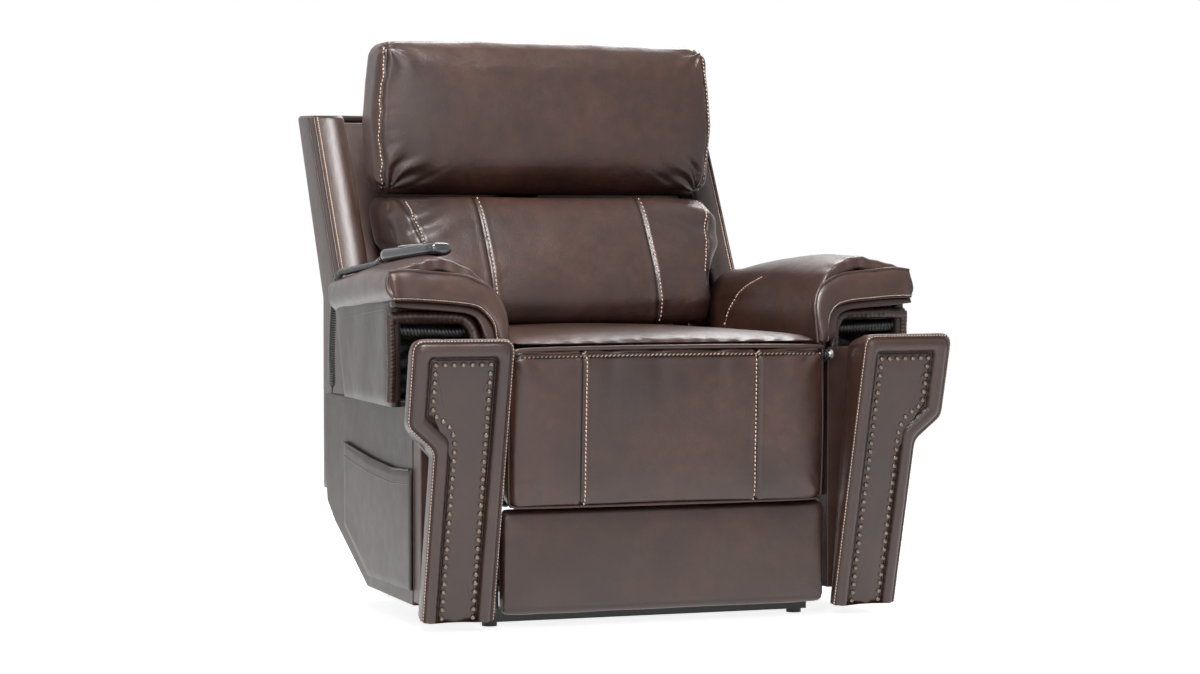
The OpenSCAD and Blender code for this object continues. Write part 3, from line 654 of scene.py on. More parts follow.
def corner_folds(centre, reach, count, depth):
    """Pinched folds that run out from a corner, for points as (X, Z) distances from it."""
    def amount(points):
        dx, dz = np.abs(points[:, 0]) - centre[0], points[:, 2] - centre[2]
        far = np.hypot(dx, dz)
        turn = np.arctan2(dz, dx)
        front = np.clip((centre[1] - points[:, 1]) / 30, 0, 1)
        wave = np.sin(turn * count + 1.3 * np.sin(far / 17))
        return depth * wave * np.exp(-((far - reach * 0.35) / reach) ** 2) * front
    return amount


# ---- seat ----

SEAT_HALF = 283
SEAT_FRONT, SEAT_REAR = -392, 146


def seat_place(u, v, w):
    x = SEAT_HALF * u
    y = SEAT_FRONT + (SEAT_REAR - SEAT_FRONT) * (v + 1) / 2
    top = 490.5 + 8 * (1 - u * u) - 10 * max(0, (-330 - y) / 62) ** 2 - 12 * max(0, (y - 100) / 46) ** 2
    top -= 5 * max(0, (abs(u) - 0.94) / 0.06) ** 2
    low = 479.5 if y < -321 else 372
    if w < 0.999:
        x *= 0.995
    return x, y, low + (top - low) * (w + 1) / 2


def make_seat():
    seat = finish_piece("seat_top_cover", block_grid((48, 46, 6), seat_place), LEATHER, "chair",
                        replaces=["seat_cushion"], recalc=True)

    def held(p):
        low = p[:, 2] < 478
        edge = np.clip((np.abs(p[:, 0]) - 268) / 10, 0, 1)
        lip = (p[:, 1] < -330) & (p[:, 2] < 484)
        return np.maximum.reduce([low * 1.0, edge, lip * 1.0, near(p[:, 1], SEAT_FRONT, 6) * 0.9])
    puff(seat, held, cap=9, voxel=7)
    ripple(seat, lambda p: (p[:, 2] > 484) * (1.2 * wobble(p, 0.010, 21)
                                              + 1.1 * np.sin(p[:, 0] / 6 + 3 * wobble(p, 0.02, 4))
                                              * np.exp(-((p[:, 1] + 388) / 12) ** 2)))
    sew(seat, [])
    return seat


# ---- chaise pad and lower panel ----

CHAISE_SEAM_X = 161


def chaise_place(u, v, w):
    p = rounded((u, v, w), (288, 32, 132.5), 20)
    lean = 11 * (1 - w) / 2 * (1 - v) / 2
    return p[0], -368 + p[1] + lean, 338.5 + p[2] + (5 * v if v > 0 and w < -0.9 else 0)


def make_chaise():
    pad = finish_piece("chaise_cover", block_grid((56, 8, 28), chaise_place), LEATHER, "footrest",
                       replaces=["chaise_pad"], recalc=True)

    def held(p):
        rear = p[:, 1] > -362
        seams = near(np.abs(p[:, 0]), CHAISE_SEAM_X, 5)
        rim = np.maximum(near(p[:, 2], 468, 6), near(p[:, 2], 210, 5))
        ends = near(np.abs(p[:, 0]), 285, 5) * 0.7
        return np.maximum.reduce([rear * 1.0, seams * 0.9, rim * 0.9, ends])
    puff(pad, held, cap=9, voxel=5)

    def unevenness(p):
        upper = np.clip((p[:, 2] - 330) / 110, 0, 1)
        folds = 1.1 * np.sin(p[:, 0] / 15 + 2.6 * wobble(p * (1, 1, 0.35), 0.014, 5)) * upper
        edge = 1.6 * wobble(p * (1, 1, 0.4), 0.022, 15) * near(np.abs(p[:, 0]), 262, 40)
        return (p[:, 1] < -370) * (folds + 1.5 * wobble(p, 0.009, 13) + edge)
    ripple(pad, unevenness)

    def seam(p):
        d = np.abs(np.abs(p[:, 0]) - CHAISE_SEAM_X)
        return np.where(p[:, 1] < -366, d, NO_GROOVE)

    def welt(p):
        return np.where(p[:, 1] < -366, np.abs(p[:, 2] - 462), NO_GROOVE)
    sew(pad, [(seam, 3.6, 2.8), (welt, 3.4, 3.2)])
    front = -420
    for name, side in SIDES:
        line = [(side * (CHAISE_SEAM_X - 5.2), front, z) for z in (212, 330, 458)]
        stitches(f"chaise_seam_thread_{name}", pad, [line], "footrest", aim=FROM_FRONT)
    across = [(x, front, 467.5 - 3 * (x / 280) ** 2) for x in np.linspace(-281, 281, 30)]
    top = curve_through([(-287, -384, 452), (-283, -392, 466), (-270, -396, 472.5), (-140, -399, 475),
                         (0, -400, 475.5), (140, -399, 475), (270, -396, 472.5), (283, -392, 466),
                         (287, -384, 452)], 120)
    cordage("chaise_top_welt", in_metres(top), 3.6, WELT, "footrest")
    for name, side in SIDES:
        rim = curve_through([(side * 287, -384, 452), (side * 289, -381, 340), (side * 288, -377, 224),
                             (side * 281, -378, 211), (side * 262, -380, 208.5), (side * 130, -383, 208),
                             (0, -384, 208)], 110)
        cordage(f"chaise_rim_welt_{name}", in_metres(rim), 2.4, WELT, "footrest")
    stitches("chaise_welt_thread", pad, [[(x, y, z - 4) for x, y, z in across]], "footrest", aim=FROM_FRONT,
             pitch=7.6, long=7.6, thick=1.35, lean=0.8, shift=-1.5)
    return pad


def lower_place(u, v, w):
    p = rounded((u, v, w), (299, 14, 88), 13)
    return p[0], -361.5 + p[1], 115 + p[2] + (5 if v > 0.4 and w > 0.9 else 0)


def make_lower_panel():
    panel = finish_piece("lower_leg_panel", block_grid((50, 4, 18), lower_place), PANEL, "ottoman",
                         replaces=["ottoman_panel"], recalc=True)

    def held(p):
        rim = np.maximum(near(p[:, 2], 28, 6), near(p[:, 2], 196, 6))
        return np.maximum.reduce([(p[:, 1] > -362) * 1.0, near(np.abs(p[:, 0]), 298, 8), rim])
    puff(panel, held, cap=6, voxel=6)

    def unevenness(p):
        edge = 1.8 * wobble(p * (1, 1, 0.5), 0.02, 33) * near(np.abs(p[:, 0]), 275, 45)
        return (p[:, 1] < -362) * (2.0 * wobble(p, 0.010, 31) + edge)
    ripple(panel, unevenness)
    sew(panel, [(lambda p: np.where(p[:, 1] < -362, np.abs(p[:, 2] - 38), NO_GROOVE), 1.0, 2.2)])
    return panel


# ---- back cushion ----

BACK_LEVELS = [499, 510, 545, 590, 615, 650, 700, 722, 734]
BACK_FRONTS = [70, 50, 44, 61, 75, 95, 125, 142, 160]
BACK_REARS = [150, 198, 246, 271, 284, 304, 331, 343, 338]
BACK_HALVES = [258, 272, 279, 279, 291, 315, 317, 312, 300]
BACK_SEAM_X = 160
BOXING_LEVELS = [545, 600, 640, 670, 700, 734]


def back_place(u, v, w):
    z = 500 + 233 * (w + 1) / 2
    front, rear = back_front_y(z), np.interp(z, BACK_LEVELS, BACK_REARS)
    half = (rear - front) / 2
    x, y = rounded_plan(u, v, np.interp(z, BACK_LEVELS, BACK_HALVES), half, min(40, half - 1))
    crown = 8 * (1 - u * u) * max(0, -v) * math.sin(math.pi * min(1, max(0, (w + 1) / 2)))
    return x, (front + rear) / 2 + y - crown, z


def back_front_y(z):
    return np.interp(z, BACK_LEVELS, BACK_FRONTS)


def make_back_cushion():
    cushion = finish_piece("back_cushion_cover", block_grid((52, 16, 30), back_place), LEATHER, "back",
                           replaces=["back_cushion"], recalc=True)

    def held(p):
        front = back_front_y(p[:, 2])
        rear = np.clip((p[:, 1] - front - 70) / 15, 0, 1)
        seams = near(np.abs(p[:, 0]), BACK_SEAM_X, 6) * 0.8
        edge = np.clip((np.abs(p[:, 0]) - 268) / 8, 0, 1) * (p[:, 2] < 632)
        foot = np.clip((520 - p[:, 2]) / 10, 0, 1)
        top = np.clip((p[:, 2] - 726) / 8, 0, 1) * 0.8
        return np.maximum.reduce([rear, seams, edge, foot, top])
    puff(cushion, held, cap=15, voxel=6)
    ripple(cushion, lambda p: (p[:, 1] < back_front_y(p[:, 2]) + 60) * (
        4.4 * np.sin((p[:, 2] - 735 + 0.42 * (np.abs(p[:, 0]) - 300)) / 8.5 + 1.6 * wobble(p, 0.012, 3))
        * np.exp(-((np.abs(p[:, 0]) - 296) / 66) ** 2) * np.exp(-((p[:, 2] - 708) / 42) ** 2)
        + 2.6 * wobble(p, 0.016, 11) * np.exp(-((np.abs(p[:, 0]) - 262) / 60) ** 2)
        + 1.5 * wobble(p, 0.009, 17)))

    def seam(p):
        front = p[:, 1] < back_front_y(p[:, 2]) + 45
        return np.where(front, np.abs(np.abs(p[:, 0]) - BACK_SEAM_X), NO_GROOVE)

    def boxing(p):
        line = np.interp(p[:, 2], BOXING_LEVELS, [270, 270, 276, 283, 293, 298])
        return np.where(p[:, 1] < back_front_y(p[:, 2]) + 60, np.abs(np.abs(p[:, 0]) - line), NO_GROOVE)
    sew(cushion, [(seam, 4.0, 3.2), (boxing, 3.2, 3.0)])
    for name, side in SIDES:
        line = [(side * BACK_SEAM_X + 5.4, -40, z) for z in np.linspace(508, 731, 12)]
        stitches(f"back_seam_thread_{name}", cushion, [line], "back", aim=FROM_FRONT)
        edge = [(side * np.interp(z, BOXING_LEVELS, [266, 266, 272, 279, 289, 294]),
                 back_front_y(z), z) for z in np.linspace(600, 730, 10)]
        stitches(f"back_edge_thread_{name}", cushion, [edge], "back")
    return cushion


# ---- headrest ----

HEAD_LEVELS = [737, 770, 870, 960, 1018]
HEAD_HALVES = [318, 330, 338, 330, 322]


def headrest_place(u, v, w):
    p = rounded((u, v, w), (330, 48, 139.5), 24)
    x = p[0] * float(np.interp(877 + p[2], HEAD_LEVELS, HEAD_HALVES)) / 330
    y = 245 + p[1]
    crown = (1 - v) / 2 * (1 - abs(u) ** 3) ** 0.8 * (1 - abs(w) ** 2.4) ** 0.8
    if v < 0.6:
        y += (1 - v) / 2 * (20 * max(0, (-w - 0.5) / 0.5) ** 2 + 9 * max(0, (w - 0.7) / 0.3) ** 2)
    return x, y - 17 * crown, 878.5 + p[2] + 3.5 * (w > 0.95) * (1 - u * u)


def headrest_edge(z):
    return np.interp(z, HEAD_LEVELS, HEAD_HALVES) - 13 + 1.2 * np.sin(z / 13) + 0.5 * np.sin(z / 5.1)


def make_headrest():
    pad = finish_piece("headrest_cover", block_grid((58, 12, 26), headrest_place), LEATHER, "headrest",
                       replaces=["headrest_cushion"], recalc=True)

    def held(p):
        edge = np.interp(p[:, 2], HEAD_LEVELS, HEAD_HALVES) - 13
        seam = near(np.abs(p[:, 0]), edge, 5) * (p[:, 1] < 225) * 0.85
        rear = np.clip((p[:, 1] - 276) / 10, 0, 1)
        gusset = (np.abs(p[:, 0]) > edge + 8) * 0.5
        foot = np.clip((746 - p[:, 2]) / 6, 0, 1) * (p[:, 1] > 215)
        return np.maximum.reduce([seam, rear, gusset, foot, (p[:, 2] > 1008) * 0.5])
    puff(pad, held, cap=12, voxel=6)
    ripple(pad, corner_folds((306, 236, 748), 62, 9, 3.2))
    ripple(pad, corner_folds((308, 236, 1008), 40, 7, 1.8))
    ripple(pad, lambda p: 1.5 * wobble(p, 0.02, 5) * np.exp(-((p[:, 2] - 1010) / 26) ** 2)
           + 1.1 * wobble(p, 0.014, 8))

    def side_seam(p):
        return np.where(p[:, 1] < 240, np.abs(np.abs(p[:, 0]) - headrest_edge(p[:, 2])), NO_GROOVE)
    sew(pad, [(side_seam, 2.6, 2.6)])
    for name, side in SIDES:
        line = [(side * headrest_edge(z), 60, z) for z in np.linspace(752, 1002, 60)]
        stitches(f"headrest_seam_thread_{name}", pad, [line], "headrest", aim=FROM_FRONT, shift=side * -3.6)
    return pad


# ---- wings and back shell ----

WING_FRONTS = [(200, 264), (260, 165), (380, 105), (890, 387)]
WING_REARS = [(200, 324), (550, 324), (890, 489)]
WING_OUT, WING_IN = 399, 335
WING_SEAM_Y = 30


def wing_edge(table, z):
    return float(np.interp(z, [r[0] for r in table], [r[1] for r in table]))


def wing_ring(a, z, side):
    front, rear = wing_edge(WING_FRONTS, z), wing_edge(WING_REARS, z)
    half_x, half_y = (WING_OUT - WING_IN) / 2, (rear - front) / 2
    turn = math.tau * a
    c, s = math.cos(turn), math.sin(turn)
    corner = 7 if s > 0 else 15
    x = max(-1, min(1, c * 1.6)) * (half_x - corner) + c * corner
    y = max(-1, min(1, s * 1.6)) * (half_y - corner) + s * corner
    if s < 0:
        y += 7 * (1 - (x / half_x) ** 2) * s - 9 * (x / half_x) * s
    return side * ((WING_OUT + WING_IN) / 2 + x), (front + rear) / 2 + y


def make_wing(name, side):
    def place(a, t):
        z = 200 + 690 * t
        x, y = wing_ring(a, min(z, 884), side)
        if t > 0.999:
            x, y = side * 366 + (x - side * 366) * 0.9, 438 + (y - 438) * 0.94
        return x, y, min(z, 888) + (y - 430) * 0.02
    wing = finish_piece(f"wing_cover_{name}", sleeve(64, 92, place), PANEL, "back",
                        replaces=[f"wing_{name}"], recalc=True)
    level_faces(wing)
    welt = [(side * (WING_OUT - 3), wing_edge(WING_FRONTS, z) + 3, z) for z in np.linspace(420, 884, 40)]
    piping(f"wing_welt_{name}", wing, welt, 2.6, WELT, "back", lift=0.5)
    stitches(f"wing_thread_{name}", wing, [[(x - side * 6, y - 3, z) for x, y, z in welt]], "back",
             pitch=5.6)
    fold = [(side * (WING_OUT + 1), wing_edge(WING_FRONTS, z) + WING_SEAM_Y, z)
            for z in np.linspace(400, 884, 30)]
    piping(f"wing_side_seam_{name}", wing, fold, 1.6, SIDE, "back", lift=0.1)
    return wing


def make_back_shell():
    def front(z):
        return 105 + 0.553 * (z - 380)

    inside = slab([(front(524) + 52, 524), (front(524) + 64, 524), (front(876) + 64, 876),
                   (front(876) + 52, 876)], -WING_IN, WING_IN, 5)
    level_faces(finish_piece("inside_back_cover", inside, PANEL, "back",
                             replaces=["inner_back_panel"]))
    shell = slab([(312, 200), (324, 200), (324, 550), (489, 890), (front(876) + 66, 890),
                  (front(876) + 66, 878), (469, 878), (312, 552)], -WING_IN, WING_IN, 4)
    outside = finish_piece("outside_back_cover", shell, SIDE, "back",
                           replaces=["outer_back_panel"])
    level_faces(outside)
    for name, x in (("left", -200), ("right", 200)):
        line = [(x, np.interp(z, [200, 550, 890], [325, 325, 490]), z) for z in np.linspace(206, 884, 60)]
        piping(f"back_shell_seam_{name}", outside, line, 1.8, WELT, "back", lift=0.1)
    across = [(x, 325, 556) for x in np.linspace(-330, 330, 40)]
    piping("back_shell_cross_seam", outside, across, 1.8, WELT, "back", lift=0.1)


# ---- arms ----

ARM_COVER = [(474, 553), (487, 566), (489, 582), (482, 601), (456, 611), (412, 622), (388, 626), (356, 617),
             (326, 599), (304, 573), (292, 546), (287, 515), (286, 485), (286, 471)]
ARM_WELT = [(482, 602), (455, 605), (412, 602), (353, 596), (325, 586), (303, 571), (290, 547), (286, 518),
            (286, 478)]
ARM_BAND_EDGE = [(478, 556), (436, 555), (383, 551), (343, 546), (324, 537), (309, 515), (304, 480)]
ARM_LIP_EDGE = [(479, 545), (436, 541), (383, 537), (348, 532), (331, 519), (322, 484)]
ARM_FALL = 26
ARM_TAPER = 46


def arm_front_y(z):
    return max(-318 - 0.38 * (628 - z), -368)


def arm_rear_y(z):
    return 156 + 0.5026 * (z - 569)


def arm_x(x, s):
    return x if x <= 303 else 286 + (x - 286) * (1 - s * ARM_TAPER / 198)


def make_arm_cover(name, side):
    line = curve_through(ARM_COVER, 49)
    across = np.gradient(line, axis=0)
    inward = np.stack([across[:, 1], -across[:, 0]], 1)
    inward /= np.linalg.norm(inward, axis=1, keepdims=True)
    middle = np.array([395, 545])
    inward *= np.sign(((middle - line) * inward).sum(1))[:, None]

    def place(u, v, w):
        i = round((u + 1) / 2 * 48)
        s = (v + 1) / 2
        thick = 22 * (1 - w) / 2
        if line[i][0] < 303:
            thick = min(thick, 15)
        x, z = line[i] + inward[i] * thick
        front = arm_front_y(line[i][1]) + 1.5 * (w < 0)
        swell = 12 * math.sin(math.pi * min(1, s * 1.1) ** 0.8) * max(0, (line[i][1] - 560) / 68)
        low = z - ARM_FALL * s + swell
        y = front + s * (arm_rear_y(line[i][1] - ARM_FALL) - front)
        return side * arm_x(x, s), y, low
    cover = finish_piece(f"arm_cover_{name}", block_grid((48, 70, 3), place), LEATHER, "chair",
                         replaces=[f"arm_pad_{name}"], recalc=True)
    refine(cover)

    def gathers(p):
        edge = p[:, 1] - np.array([arm_front_y(z) for z in p[:, 2]])
        top = np.clip((p[:, 2] - 560) / 30, 0, 1)
        pleats = 1.5 * np.sin(p[:, 0] / 4.2 + 1.2 * wobble(p, 0.02, 2)) * np.exp(-(edge / 34) ** 2) * top
        pleats *= 0.55 + 0.45 * wobble(p, 0.035, 6)
        return pleats + 1.8 * wobble(p, 0.011, 4) * top - 3.0 * np.exp(-(edge / 5) ** 2) * top
    ripple(cover, gathers)
    seam_points = curve_through([(side * 300, -58, 606), (side * 294, -12, 583), (side * 289, 14, 554),
                                 (side * 287, 32, 519), (side * 286, 44, 480)], 40)

    def inner_seam(p):
        found = np.full(len(p), NO_GROOVE)
        chosen = (np.abs(p[:, 0]) < 330) & (p[:, 1] > -90) & (p[:, 1] < 80)
        gap = np.linalg.norm(p[chosen][:, None, :] - seam_points[None], axis=2)
        found[chosen] = gap.min(1)
        return found
    sew(cover, [(inner_seam, 2.2, 3.2)])
    stitches(f"arm_inner_thread_{name}", cover, [seam_points], "chair", shift=side * 4.0)
    welt = curve_through([(side * x, arm_front_y(z) - 1, z) for x, z in ARM_WELT], 60)
    cordage(f"arm_front_welt_{name}", in_metres(welt), 3.4, WELT, "chair")
    return cover


def strip_between(name, side, outer, inner, puff_out, depth, sink, finish, count=56, caps=True):
    """A rolled strip across the arm's front between two lines of (X, Z)."""
    a_line, b_line = curve_through(outer, count + 1), curve_through(inner, count + 1)

    def place(a, t):
        i = round(t * count)
        turn = math.tau * a
        c, s = math.cos(turn), math.sin(turn)
        mid, half = (a_line[i] + b_line[i]) / 2, (a_line[i] - b_line[i]) / 2
        c = math.copysign(abs(c) ** 0.7, c)
        x, z = mid + half * c
        tuck = 1 + 0.22 * math.sin(t * 55) * math.exp(-(t / 0.06) ** 2)
        y = arm_front_y(z) + sink - (puff_out * tuck if s > 0 else -depth) * abs(s) ** 0.8
        return side * x, y, z
    return finish_piece(name, sleeve(24, count, place, caps), finish, "chair", recalc=True)


def roll(name, points, radius, body, wrinkle=0.7):
    """A stuffed roll along a line, with slanting creases along its length."""
    line = curve_through(points, 90)

    def place(a, t):
        i = round(t * 89)
        ahead = Vector(line[min(i + 1, 89)] - line[max(i - 1, 0)]).normalized()
        side = ahead.cross(Vector((0, 1, 0)))
        side = side.normalized() if side.length > 1e-4 else Vector((1, 0, 0))
        up = side.cross(ahead)
        turn = math.tau * a
        r = radius * (1 + 0.05 * wrinkle * math.sin(t * 140 + 3 * turn) + 0.03 * math.sin(t * 37))
        return Vector(line[i]) + (side * math.cos(turn) + up * math.sin(turn)) * r
    return finish_piece(name, sleeve(20, 89, place), WELT, body, recalc=True)


def make_arm_front(name, side):
    band = strip_between(f"arm_front_band_{name}", side, ARM_WELT, ARM_BAND_EDGE, 9, 24, 1, LEATHER)
    ripple(band, lambda p: 1.4 * wobble(p, 0.03, 9))
    strip_between(f"arm_front_lip_{name}", side, ARM_BAND_EDGE, ARM_LIP_EDGE, 3, 18, 7, WELT)
    seam = curve_through([(side * x, arm_front_y(z) - 1.5, z) for x, z in ARM_BAND_EDGE], 60)
    cordage(f"arm_band_seam_{name}", in_metres(seam), 1.5, WELT, "chair")
    stitches(f"arm_band_thread_{name}", band, [[(x, y - 2, z + 3) for x, y, z in seam]], "chair", pitch=5.0,
             thick=0.6)
    frame_y = -318
    top = [(side * 476, frame_y, 526), (side * 440, frame_y - 2, 528), (side * 385, frame_y - 4, 527),
           (side * 352, frame_y - 6, 524), (side * 336, frame_y - 12, 508), (side * 330, frame_y - 18, 480),
           (side * 330, frame_y - 20, 462)]
    roll(f"recess_top_roll_{name}", top, 10.5, "chair")
    upright = [(side * 475, frame_y, 386), (side * 474, frame_y - 1, 440), (side * 475, frame_y - 1, 500),
               (side * 476, frame_y - 1, 531)]
    roll(f"recess_side_roll_{name}", upright, 7.5, "chair", 1.0)


def make_arm_box(name, side):
    """The box under the arm pad: side, floor, inner wall and lid of covered board."""
    def taper(bm):
        for v in bm.verts:
            s = min(1, max(0, (v.co.y / MM + 312) / 468))
            if v.co.x / MM > 400:
                v.co.x -= s * ARM_TAPER * MM * (v.co.x / MM - 303) / 175
        if side < 0:
            bmesh.ops.scale(bm, vec=(-1, 1, 1), verts=bm.verts)
        return bm
    outside = block_grid((2, 26, 14), arm_side_place)
    parts = [outside, box_piece((322, 462), (-312, 40), (378, 388), 3),
             slab([(-330, 210), (60, 210), (62, 380), (128, 522), (-312, 522), (-330, 466)], 303, 315, 3),
             box_piece((315, 462), (-310, 90), (523, 544), 3),
             box_piece((315, 440), (-198, 62), (388, 523), 3)]
    obj = finish_piece(f"arm_box_cover_{name}", joined([taper(p) for p in parts]), SIDE, "chair",
                       replaces=[f"arm_box_{name}"], recalc=True)
    level_faces(obj)
    seam = [(side * (479 - 46 * (y + 312) / 468 * 0.99), y, z)
            for y, z in ((-300, 541), (-200, 535), (-90, 527), (27, 519), (120, 513))]
    piping(f"arm_box_seam_{name}", obj, seam, 1.1, SIDE, "chair", lift=0.0)


def arm_side_place(u, v, w):
    z = 378 + 176 * (w + 1) / 2
    rear = 60 + 0.5026 * (z - 378)
    y = -322 + (rear + 322) * (v + 1) / 2
    edge = min(1, (1 - abs(v)) * 9) * min(1, (1 - abs(w)) * 9)
    x = 468 + 9 * u if u < 0.5 else 474 + 4.5 * edge + 1.2 * math.sin(y / 29 + z / 90) * edge
    return x, y, z


def make_recess(name, side):
    def place(u, v, w):
        x, z = 392 + 69 * u, 455 + 66 * w
        y = -212 + 3 * v
        if v < 0:
            y -= 3 + 5 * noise.noise(Vector((x, z * 2, 7)) * 0.035)
        return side * x, y, z
    finish_piece(f"recess_lining_{name}", block_grid((24, 1, 22), place), LINING, "chair",
                 replaces=["recess_linings"] if side < 0 else (), recalc=True)
    hem = [(side * 325, -306, 503), (side * 360, -308, 500), (side * 410, -307, 502),
           (side * 461, -306, 504)]
    roll(f"recess_lining_fold_{name}", hem, 9, "chair", 2.0).data.materials[0] = LINING
    lid = box_piece(sorted((side * 323, side * 461)), (-306, -214), (515, 521), 2)
    level_faces(finish_piece(f"recess_lining_lid_{name}", lid, LINING, "chair"))


# ---- front posts ----

POST_OUTER = [(313, 20), (437, 20), (440.5, 309), (488, 350), (490, 494), (318, 494)]
POST_OUTER_R = [5, 5, 27, 27, 20, 20]
POST_INNER = [(344, 21.5), (410, 21.5), (413, 330), (455, 368), (456, 462), (346, 462)]
POST_INNER_R = [0.5, 0.5, 22, 9, 7, 7]
POST_MID_X, POST_LOW_Y, POST_LOW_Z = 402, -367.6, 20
POST_TURN = math.tan(math.radians(4.5))
POST_RISE = 113 / 454 / math.cos(math.radians(4.5))


def post_y(x, z):
    return POST_LOW_Y + (x - POST_MID_X) * POST_TURN - (z - POST_LOW_Z) * POST_RISE


def outline(corners, radii, per_side=12, per_corner=9):
    """A closed outline with round corners and the same count of points on each side and corner."""
    pts = [np.array(c, float) for c in corners]
    n = len(pts)
    bends = []
    for k in range(n):
        a, b = (pts[k - 1] - pts[k]), (pts[(k + 1) % n] - pts[k])
        a, b = a / np.linalg.norm(a), b / np.linalg.norm(b)
        reach = radii[k] / math.tan(math.acos(max(-1, min(1, float(a @ b)))) / 2)
        start, end = pts[k] + a * reach, pts[k] + b * reach
        bends.append([(1 - t) ** 2 * start + 2 * t * (1 - t) * pts[k] + t * t * end
                      for t in np.linspace(0, 1, per_corner)])
    out = []
    for k in range(n):
        out += bends[k]
        start, stop = bends[k][-1], bends[(k + 1) % n][0]
        out += [start + (stop - start) * i / (per_side + 1) for i in range(1, per_side + 1)]
    return np.array(out)


# share of the way from the outer to the inner outline, and height over the post's face
POST_RINGS = [(0.0, None), (0.0, -9), (0.0, -4), (0.025, -0.8), (0.07, 0.8), (0.12, 0.9), (0.16, -0.9),
              (0.19, -0.4), (0.25, 2.8), (0.36, 5.6), (0.5, 7.0), (0.64, 6.8), (0.77, 5.2), (0.88, 1.8),
              (0.95, -3.0), (1.0, -6.2), (1.04, -4.8), (1.12, -2.6), (1.3, -1.2)]


def make_front_board(name, side):
    """The board behind the post, and the lower panel's side return."""
    board = box_piece(sorted((side * 313, side * 434)), (-351, -313), (50, 470), 2)
    level_faces(finish_piece(f"front_board_cover_{name}", board, BROWN_BOARD, "chair",
                             replaces=["arm_front_boards"] if side < 0 else ()))
    flap = box_piece(sorted((side * 297, side * 301)), (-349, -322), (30, 198), 1)
    level_faces(finish_piece(f"lower_panel_return_{name}", flap, LINING, "ottoman"))


def make_post(name, side):
    outer, inner = outline(POST_OUTER, POST_OUTER_R), outline(POST_INNER, POST_INNER_R)
    n = len(outer)
    m = len(POST_RINGS) - 1

    def place(a, t):
        i, k = round(a * n) % n, round(t * m)
        share, height = POST_RINGS[k]
        inward = inner[i] - outer[i]
        x, z = outer[i] + inward * share
        if height is not None and height > -7:
            height *= min(1, np.linalg.norm(inward) / 30)
        if height is None:
            y = -352 if x < 434 else post_y(x, z) + 40
            return side * x, max(y, post_y(x, z) + 8), z - (10 if z > 480 and x < 434 else 0)
        return side * (x + height * POST_TURN), post_y(x, z) - height, z - height * POST_RISE
    post = finish_piece(f"post_cover_{name}", sleeve(n, m, place), PANEL, "chair",
                        replaces=[f"post_{name}"], recalc=True)
    refine(post)
    # Painted shade in the post's deep grooves.
    mark_crease_shade(post, post_groove_shade(post, side))
    ring = outer + (inner - outer) * 0.065
    line = [(side * x, post_y(x, z) - 1, z) for x, z in ring]
    edge = line[21:] + line[:1]
    stitches(f"post_edge_thread_{name}", post, [edge], "chair", aim=FROM_FRONT, pitch=5.6, long=4.7,
             thick=0.85)
    make_nails(name, side)
    return post


# Painted shade for the post: points sunk more than about 3 mm below its face, away from the outer edge, are
# darkened.
def post_groove_shade(post, side):
    co = per_vertex(post, "co") / MM
    lift = np.array([post_y(side * x, z) - y for x, y, z in co])
    deep = np.clip((-lift - 2.9) / 3.0, 0, 1)
    edge = np.abs(co[:, 0]) > 484
    return deep * (lift > -7.5) * ~edge


NAIL_RADIUS = 4.7
NAIL_PITCH = 14.7


def make_nails(name, side):
    rows = [[(448, 453), (446.5, 372), (433.5, 364), (421, 355), (412, 345), (407, 331), (405, 316),
             (403.5, 27)],
            [(355, 453), (350, 27)], [(370.5, 453), (432.5, 453)]]
    bm = bmesh.new()
    for row in rows:
        line = np.array(row, float)
        count = round(length_of(line) / NAIL_PITCH) + 1
        for x, z in even(line, count):
            normal = Vector((side * POST_TURN, -1, -POST_RISE)).normalized()
            across = Vector((0, 0, 1)).cross(normal).normalized()
            up = normal.cross(across)
            centre = Vector((side * x, post_y(x, z), z)) + normal * -1.3
            axes = Matrix([(across[i] * NAIL_RADIUS * MM, up[i] * NAIL_RADIUS * MM, normal[i] * 3.8 * MM,
                            centre[i] * MM) for i in range(3)] + [(0, 0, 0, 1)])
            bmesh.ops.create_uvsphere(bm, u_segments=12, v_segments=8, radius=1, matrix=axes)
    finish_piece(f"post_nails_{name}", bm, BRASS, "chair",
                 replaces=["nail_heads"] if side < 0 else (), recalc=True)


# ---- sides ----

def make_side(name, side):
    x0, x1 = (415, 435) if side > 0 else (-435, -415)
    edge = [(-312, 44), (-60, 52), (130, 150), (178, 185), (192, 260), (192, 378), (-312, 378)]
    panel = slab(edge, x0, x1, 3)
    obj = finish_piece(f"side_cover_{name}", panel, SIDE, "chair",
                       replaces=[f"side_panel_{name}"])
    level_faces(obj)

    def place(u, v, w):
        y = -312 + 372 * (v + 1) / 2
        hem = float(np.interp(y, [-312, -223, -101, 8, 60], [272, 268, 277, 290, 298]))
        low = float(np.interp(y, [-312, -80, 60], [70, 72, 150]))
        z = low + (hem - low) * (w + 1) / 2
        swell = 3.0 * math.sin(math.pi * (v + 1) / 2) * max(0, (w + 0.4))
        return side * (435.2 + (4.5 + swell) * (u + 1) / 2), y, z
    pocket = finish_piece(f"side_pocket_cover_{name}", block_grid((1, 30, 16), place), SIDE, "chair",
                          replaces=["side_pockets"] if side < 0 else (), recalc=True)
    level_faces(pocket)
    hem = [(side * 441, y, z) for y, z in ((-308, 272), (-223, 268), (-101, 277), (8, 290), (58, 297))]
    piping(f"pocket_hem_{name}", pocket, hem, 1.9, SIDE, "chair", lift=0.3)
    low_line = [(side * 441, y, z - 24) for _, y, z in hem]
    piping(f"pocket_hem_seam_{name}", pocket, low_line, 0.9, WELT, "chair", lift=0.0)


# ---- handset ----

HANDSET_AT = Vector((-387, -184, 622.4))
HANDSET_TURN = math.radians(14.5)
HANDSET_TILT = math.radians(-3.2)


